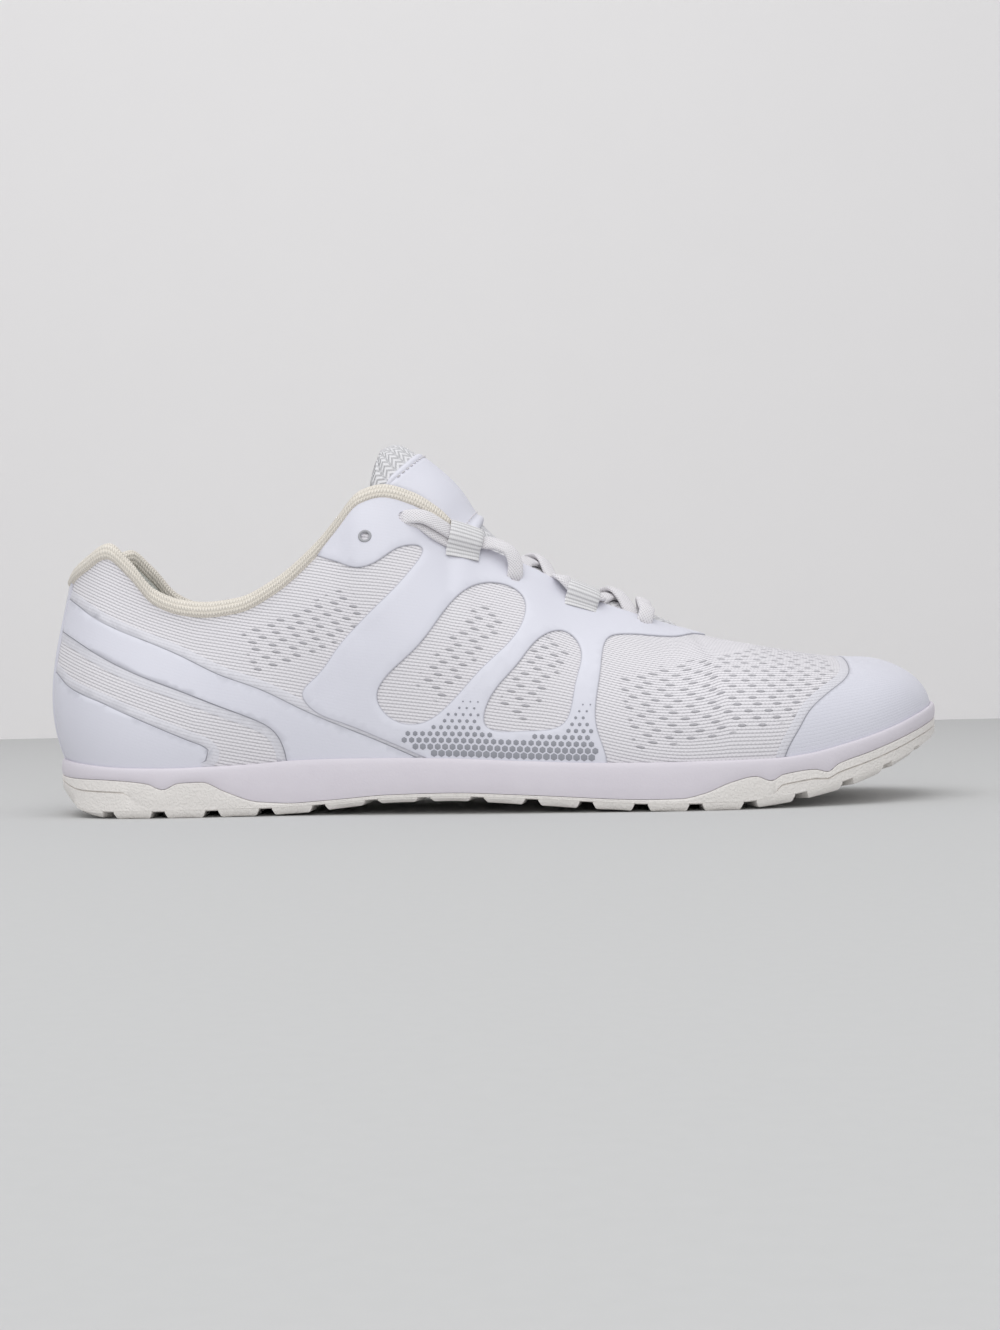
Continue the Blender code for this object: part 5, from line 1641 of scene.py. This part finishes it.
def mesh_material():
    n = Nodes("mesh_cloth", Roughness=0.9, Sheen_Weight=0.12)
    u, v = n.sheet()
    ribs = rib_height(n, u, v)
    row = n.whole(v, VENT_ROW)
    shift = n.plus(n.times(row, 0.36), n.times(n.math("SINE", n.times(row, 2.4)), 0.10))
    a = n.plus(n.math("FRACT", n.plus(n.math("DIVIDE", u, VENT_PITCH), shift)), -0.5)
    b = n.plus(n.part(v, VENT_ROW), -0.5)
    a, b = n.times(a, VENT_PITCH / VENT_HALF_LENGTH), n.times(b, VENT_ROW / VENT_HALF_HEIGHT)
    distance = n.math("SQRT", n.plus(n.times(a, a), n.times(b, b)))
    hole = n.times(n.step(distance, 1.15, 0.75), n.step(n.mask("vent"), 0.35, 0.65))
    base = n.mix(n.noise(16.0), MESH_COLOURS[0], MESH_COLOURS[1])
    # Painted shade: the furrows between the ribs are darkened towards the furrow colour.
    base = n.mix(n.times(n.rest(ribs), 0.82), base, MESH_COLOURS[2])
    # Painted shade: the vent holes are darkened towards the vent colour, as if shaded inside; the bump
    # presses them in.
    n.colour(n.mix(n.times(hole, 0.75), base, MESH_COLOURS[3]))
    n.bump(n.math("SUBTRACT", n.plus(ribs, n.times(n.noise(0.45), 0.12)), n.times(hole, 1.8)), 0.16)
    return n.material


def film_material(name="film", ribbing=0.05):
    """Thin film with the cloth's ribs showing faintly, more in its border, where painted shade darkens the
    furrows between them.
    """
    n = Nodes(name, Roughness=0.5, Coat_Weight=0.05, Coat_Roughness=0.4)
    u, v = n.sheet()
    ribs = rib_height(n, u, v)
    border, line = n.mask("border"), n.mask("line")
    tint = n.mix(n.noise(24.0), FILM_COLOURS[0], FILM_COLOURS[1])
    tint = n.mix(n.times(border, 0.7), tint, FILM_COLOURS[2])
    tint = n.mix(n.times(n.times(n.rest(ribs), border), 0.35), tint, MESH_COLOURS[2])
    # Painted shade: the line mask darkens the pressed groove and the free edges towards the dark line colour.
    n.colour(n.mix(n.times(line, 0.85), tint, FILM_COLOURS[3]))
    grain = n.noise(0.8, 3.0)
    n.bump(n.plus(n.times(ribs, n.plus(ribbing, n.times(border, 0.30))), n.times(grain, 0.16)), 0.15)
    return n.material


def foam_material():
    n = Nodes("foam", Roughness=0.55, Coat_Weight=0.04, Coat_Roughness=0.4)
    n.colour(n.mix(n.noise(9.0, 4.0), *FOAM_COLOURS))
    n.bump(n.plus(n.noise(0.6, 2.0), n.times(n.noise(5.0), 1.5)), 0.05)
    return n.material


def rubber_material():
    n = Nodes("rubber", Roughness=0.7)
    stipple = n.noise(0.75, 1.0)
    n.colour(n.mix(n.noise(7.0, 3.0), *RUBBER_COLOURS))
    n.bump(n.step(stipple, 0.35, 0.7), 0.12)
    return n.material


def knit_material():
    n = Nodes("knit", Roughness=0.95, Sheen_Weight=0.25, Sheen_Roughness=0.6)
    u, v = n.sheet()
    row = n.whole(v, 1.15)
    slant = n.wave(n.plus(u, n.times(row, 0.45)), 0.95)
    height = n.plus(n.times(slant, n.wave(v, 1.15)), n.times(n.noise(0.6, 3.0), 0.5))
    base = n.mix(n.noise(3.0, 3.0), KNIT_COLOURS[0], KNIT_COLOURS[1])
    # Painted shade: the knit's hollows, where its height is low, are darkened towards the hollow colour.
    n.colour(n.mix(n.times(n.math("SUBTRACT", 1.2, height), 0.38), base, KNIT_COLOURS[2]))
    n.bump(height, 0.35)
    return n.material


def lining_material():
    n = Nodes("lining", Roughness=0.95, Sheen_Weight=0.15)
    u, v = n.sheet()
    dots = n.times(n.wave(n.plus(u, n.times(n.whole(v, 0.9), 0.55)), 1.1), n.wave(v, 0.9))
    # Painted shade: the lining is darker between its raised dots and lighter on them.
    n.colour(n.mix(dots, *LINING_COLOURS))
    n.bump(dots, 0.15)
    return n.material


def tongue_material():
    n = Nodes("tongue", Roughness=0.9, Sheen_Weight=0.15)
    u, v = n.sheet()
    column = 4.2
    across = n.math("ABSOLUTE", n.plus(n.part(u, column), -0.5))
    chevron = n.wave(n.plus(v, n.times(across, column * 1.1)), 2.2)
    groove = n.step(across, 0.5, 0.40)
    height = n.plus(n.times(n.times(chevron, groove), 0.8), n.times(n.noise(0.5), 0.2))
    outside = n.rest(n.mask("inner"))
    # Painted shade: the knit is darker in the low parts of its chevrons and grooves.
    knit = n.mix(height, *TONGUE_COLOURS)
    n.colour(n.mix(outside, TONGUE_BACK, knit))
    n.bump(n.times(height, n.plus(0.1, n.times(outside, 0.9))), 0.5)
    return n.material


def lace_material():
    n = Nodes("lace", Roughness=0.9, Sheen_Weight=0.15)
    u, v = n.sheet()
    one, two = n.wave(n.plus(u, v), 1.0), n.wave(n.math("SUBTRACT", u, v), 1.0)
    height = n.math("MAXIMUM", n.times(one, 0.8), two)
    # Painted shade: the braid is darker in its hollows.
    n.colour(n.mix(height, *LACE_COLOURS))
    n.bump(height, 0.22)
    return n.material


def webbing_material():
    n = Nodes("webbing", Roughness=0.85, Sheen_Weight=0.15)
    u, v = n.sheet()
    ribs = n.wave(u, 1.35)
    height = n.plus(n.times(ribs, 0.8), n.times(n.wave(v, 0.6), 0.2))
    # Painted shade: the webbing is darker between its ribs.
    n.colour(n.mix(height, *WEBBING_COLOURS))
    n.bump(height, 0.32)
    return n.material


def ring_material():
    n = Nodes("ring", Roughness=0.4)
    n.colour(n.mix(n.noise(1.0), *RING_COLOURS))
    return n.material


def motif_material():
    n = Nodes("motif", Roughness=0.55)
    n.colour(n.mix(n.noise(2.0), *MOTIF_COLOURS))
    n.bump(n.noise(0.5), 0.04)
    return n.material


# Stage

FOCAL = 57.5
CAMERA_PLACE = (0.001, -0.700, 0.0457)
CAMERA_ROLL = -1.2
SENSOR_WIDTH = 36
WALL_BEHIND = 0.82
FLOOR_COLOUR = (0.58, 0.58, 0.575)
WALL_COLOUR = (0.90, 0.88, 0.875)
WORLD_COLOUR = (0.95, 0.97, 1.0, 1)
WORLD_STRENGTH = 0.62
# name, place, target, size, power
LIGHTS = (
    ("overhead", (-0.15, -0.30, 1.2), (0, 0.05, 0.03), (1.3, 1.1), 7.0),
    ("front", (-0.1, -1.5, 0.7), (0, 0, 0.04), (1.2, 0.9), 5.0),
)


def plain(name, colour, roughness, speckle, change=0.965):
    n = Nodes(name, Roughness=roughness)
    n.colour(n.mix(n.noise(speckle, 3.0), colour, tuple(c * change for c in colour)))
    return n.material


def sweep(name, profile, paint):
    """Wide sheet over a profile of (Y, Z) points."""
    mesh = bpy.data.meshes.new(name)
    points = [(x, y, z) for y, z in profile for x in (-4.0, 4.0)]
    mesh.from_pydata(points, [], [(2 * i, 2 * i + 1, 2 * i + 3, 2 * i + 2) for i in range(len(profile) - 1)])
    mesh.materials.append(paint)
    mesh.shade_smooth()
    made = add_object(name, mesh)


def area_light(name, place, target, size, power):
    light = bpy.data.lights.new(name, "AREA")
    light.shape = "RECTANGLE"
    light.size, light.size_y = size
    light.energy = power
    made = add_object(name, light)
    made.location = place
    made.rotation_euler = (Vector(target) - Vector(place)).to_track_quat("-Z", "Y").to_euler()


def make_stage():
    sweep("floor", [(-4, 0), (WALL_BEHIND, 0)], plain("floor", FLOOR_COLOUR, 0.9, 3.0))
    wall = plain("backdrop", WALL_COLOUR, 0.9, 60.0, 0.985)
    sweep("backdrop", [(WALL_BEHIND, 0), (WALL_BEHIND, 3.0)], wall)
    world = bpy.data.worlds.new("studio")
    world.use_nodes = True
    background = world.node_tree.nodes["Background"]
    background.inputs[0].default_value = WORLD_COLOUR
    background.inputs[1].default_value = WORLD_STRENGTH
    bpy.context.scene.world = world
    for light in LIGHTS:
        area_light(*light)
    bpy.context.scene.view_settings.view_transform = "Standard"


def make_camera():
    camera = bpy.data.cameras.new("camera")
    camera.lens = FOCAL
    camera.sensor_width = SENSOR_WIDTH
    made = add_object("camera", camera)
    made.matrix_world = (Matrix.Translation(CAMERA_PLACE) @ Matrix.Rotation(math.radians(90), 4, "X")
                         @ Matrix.Rotation(math.radians(CAMERA_ROLL), 4, "Z"))
    bpy.context.scene.camera = made


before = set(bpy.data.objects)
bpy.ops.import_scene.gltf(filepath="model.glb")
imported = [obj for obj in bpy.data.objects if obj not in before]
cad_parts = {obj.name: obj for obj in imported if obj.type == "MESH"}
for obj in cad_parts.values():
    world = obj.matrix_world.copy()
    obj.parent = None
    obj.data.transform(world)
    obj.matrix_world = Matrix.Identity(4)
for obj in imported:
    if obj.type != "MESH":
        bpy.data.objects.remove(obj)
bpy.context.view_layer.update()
make_camera()
make_stage()

film = film_material()
lace_cloth = lace_material()
lining = lining_material()
make_outsole(rubber_material())
make_midsole(foam_material())
make_insole(lining)
make_upper(mesh_material())
make_lining(lining)
make_toe_cap(film_material("cap_film", 0.22))
make_heel_counter(film)
make_heel_band(film)
make_heel_strip(film)
make_saddle(film)
make_binding(knit_material())
tongue, tongue_outward = make_tongue(tongue_material())
make_tongue_patch(tongue, tongue_outward, film, lace_cloth)
make_laces(tongue, tongue_outward, lace_cloth)
make_rings(ring_material())
make_halftone(motif_material())
make_loops(webbing_material())
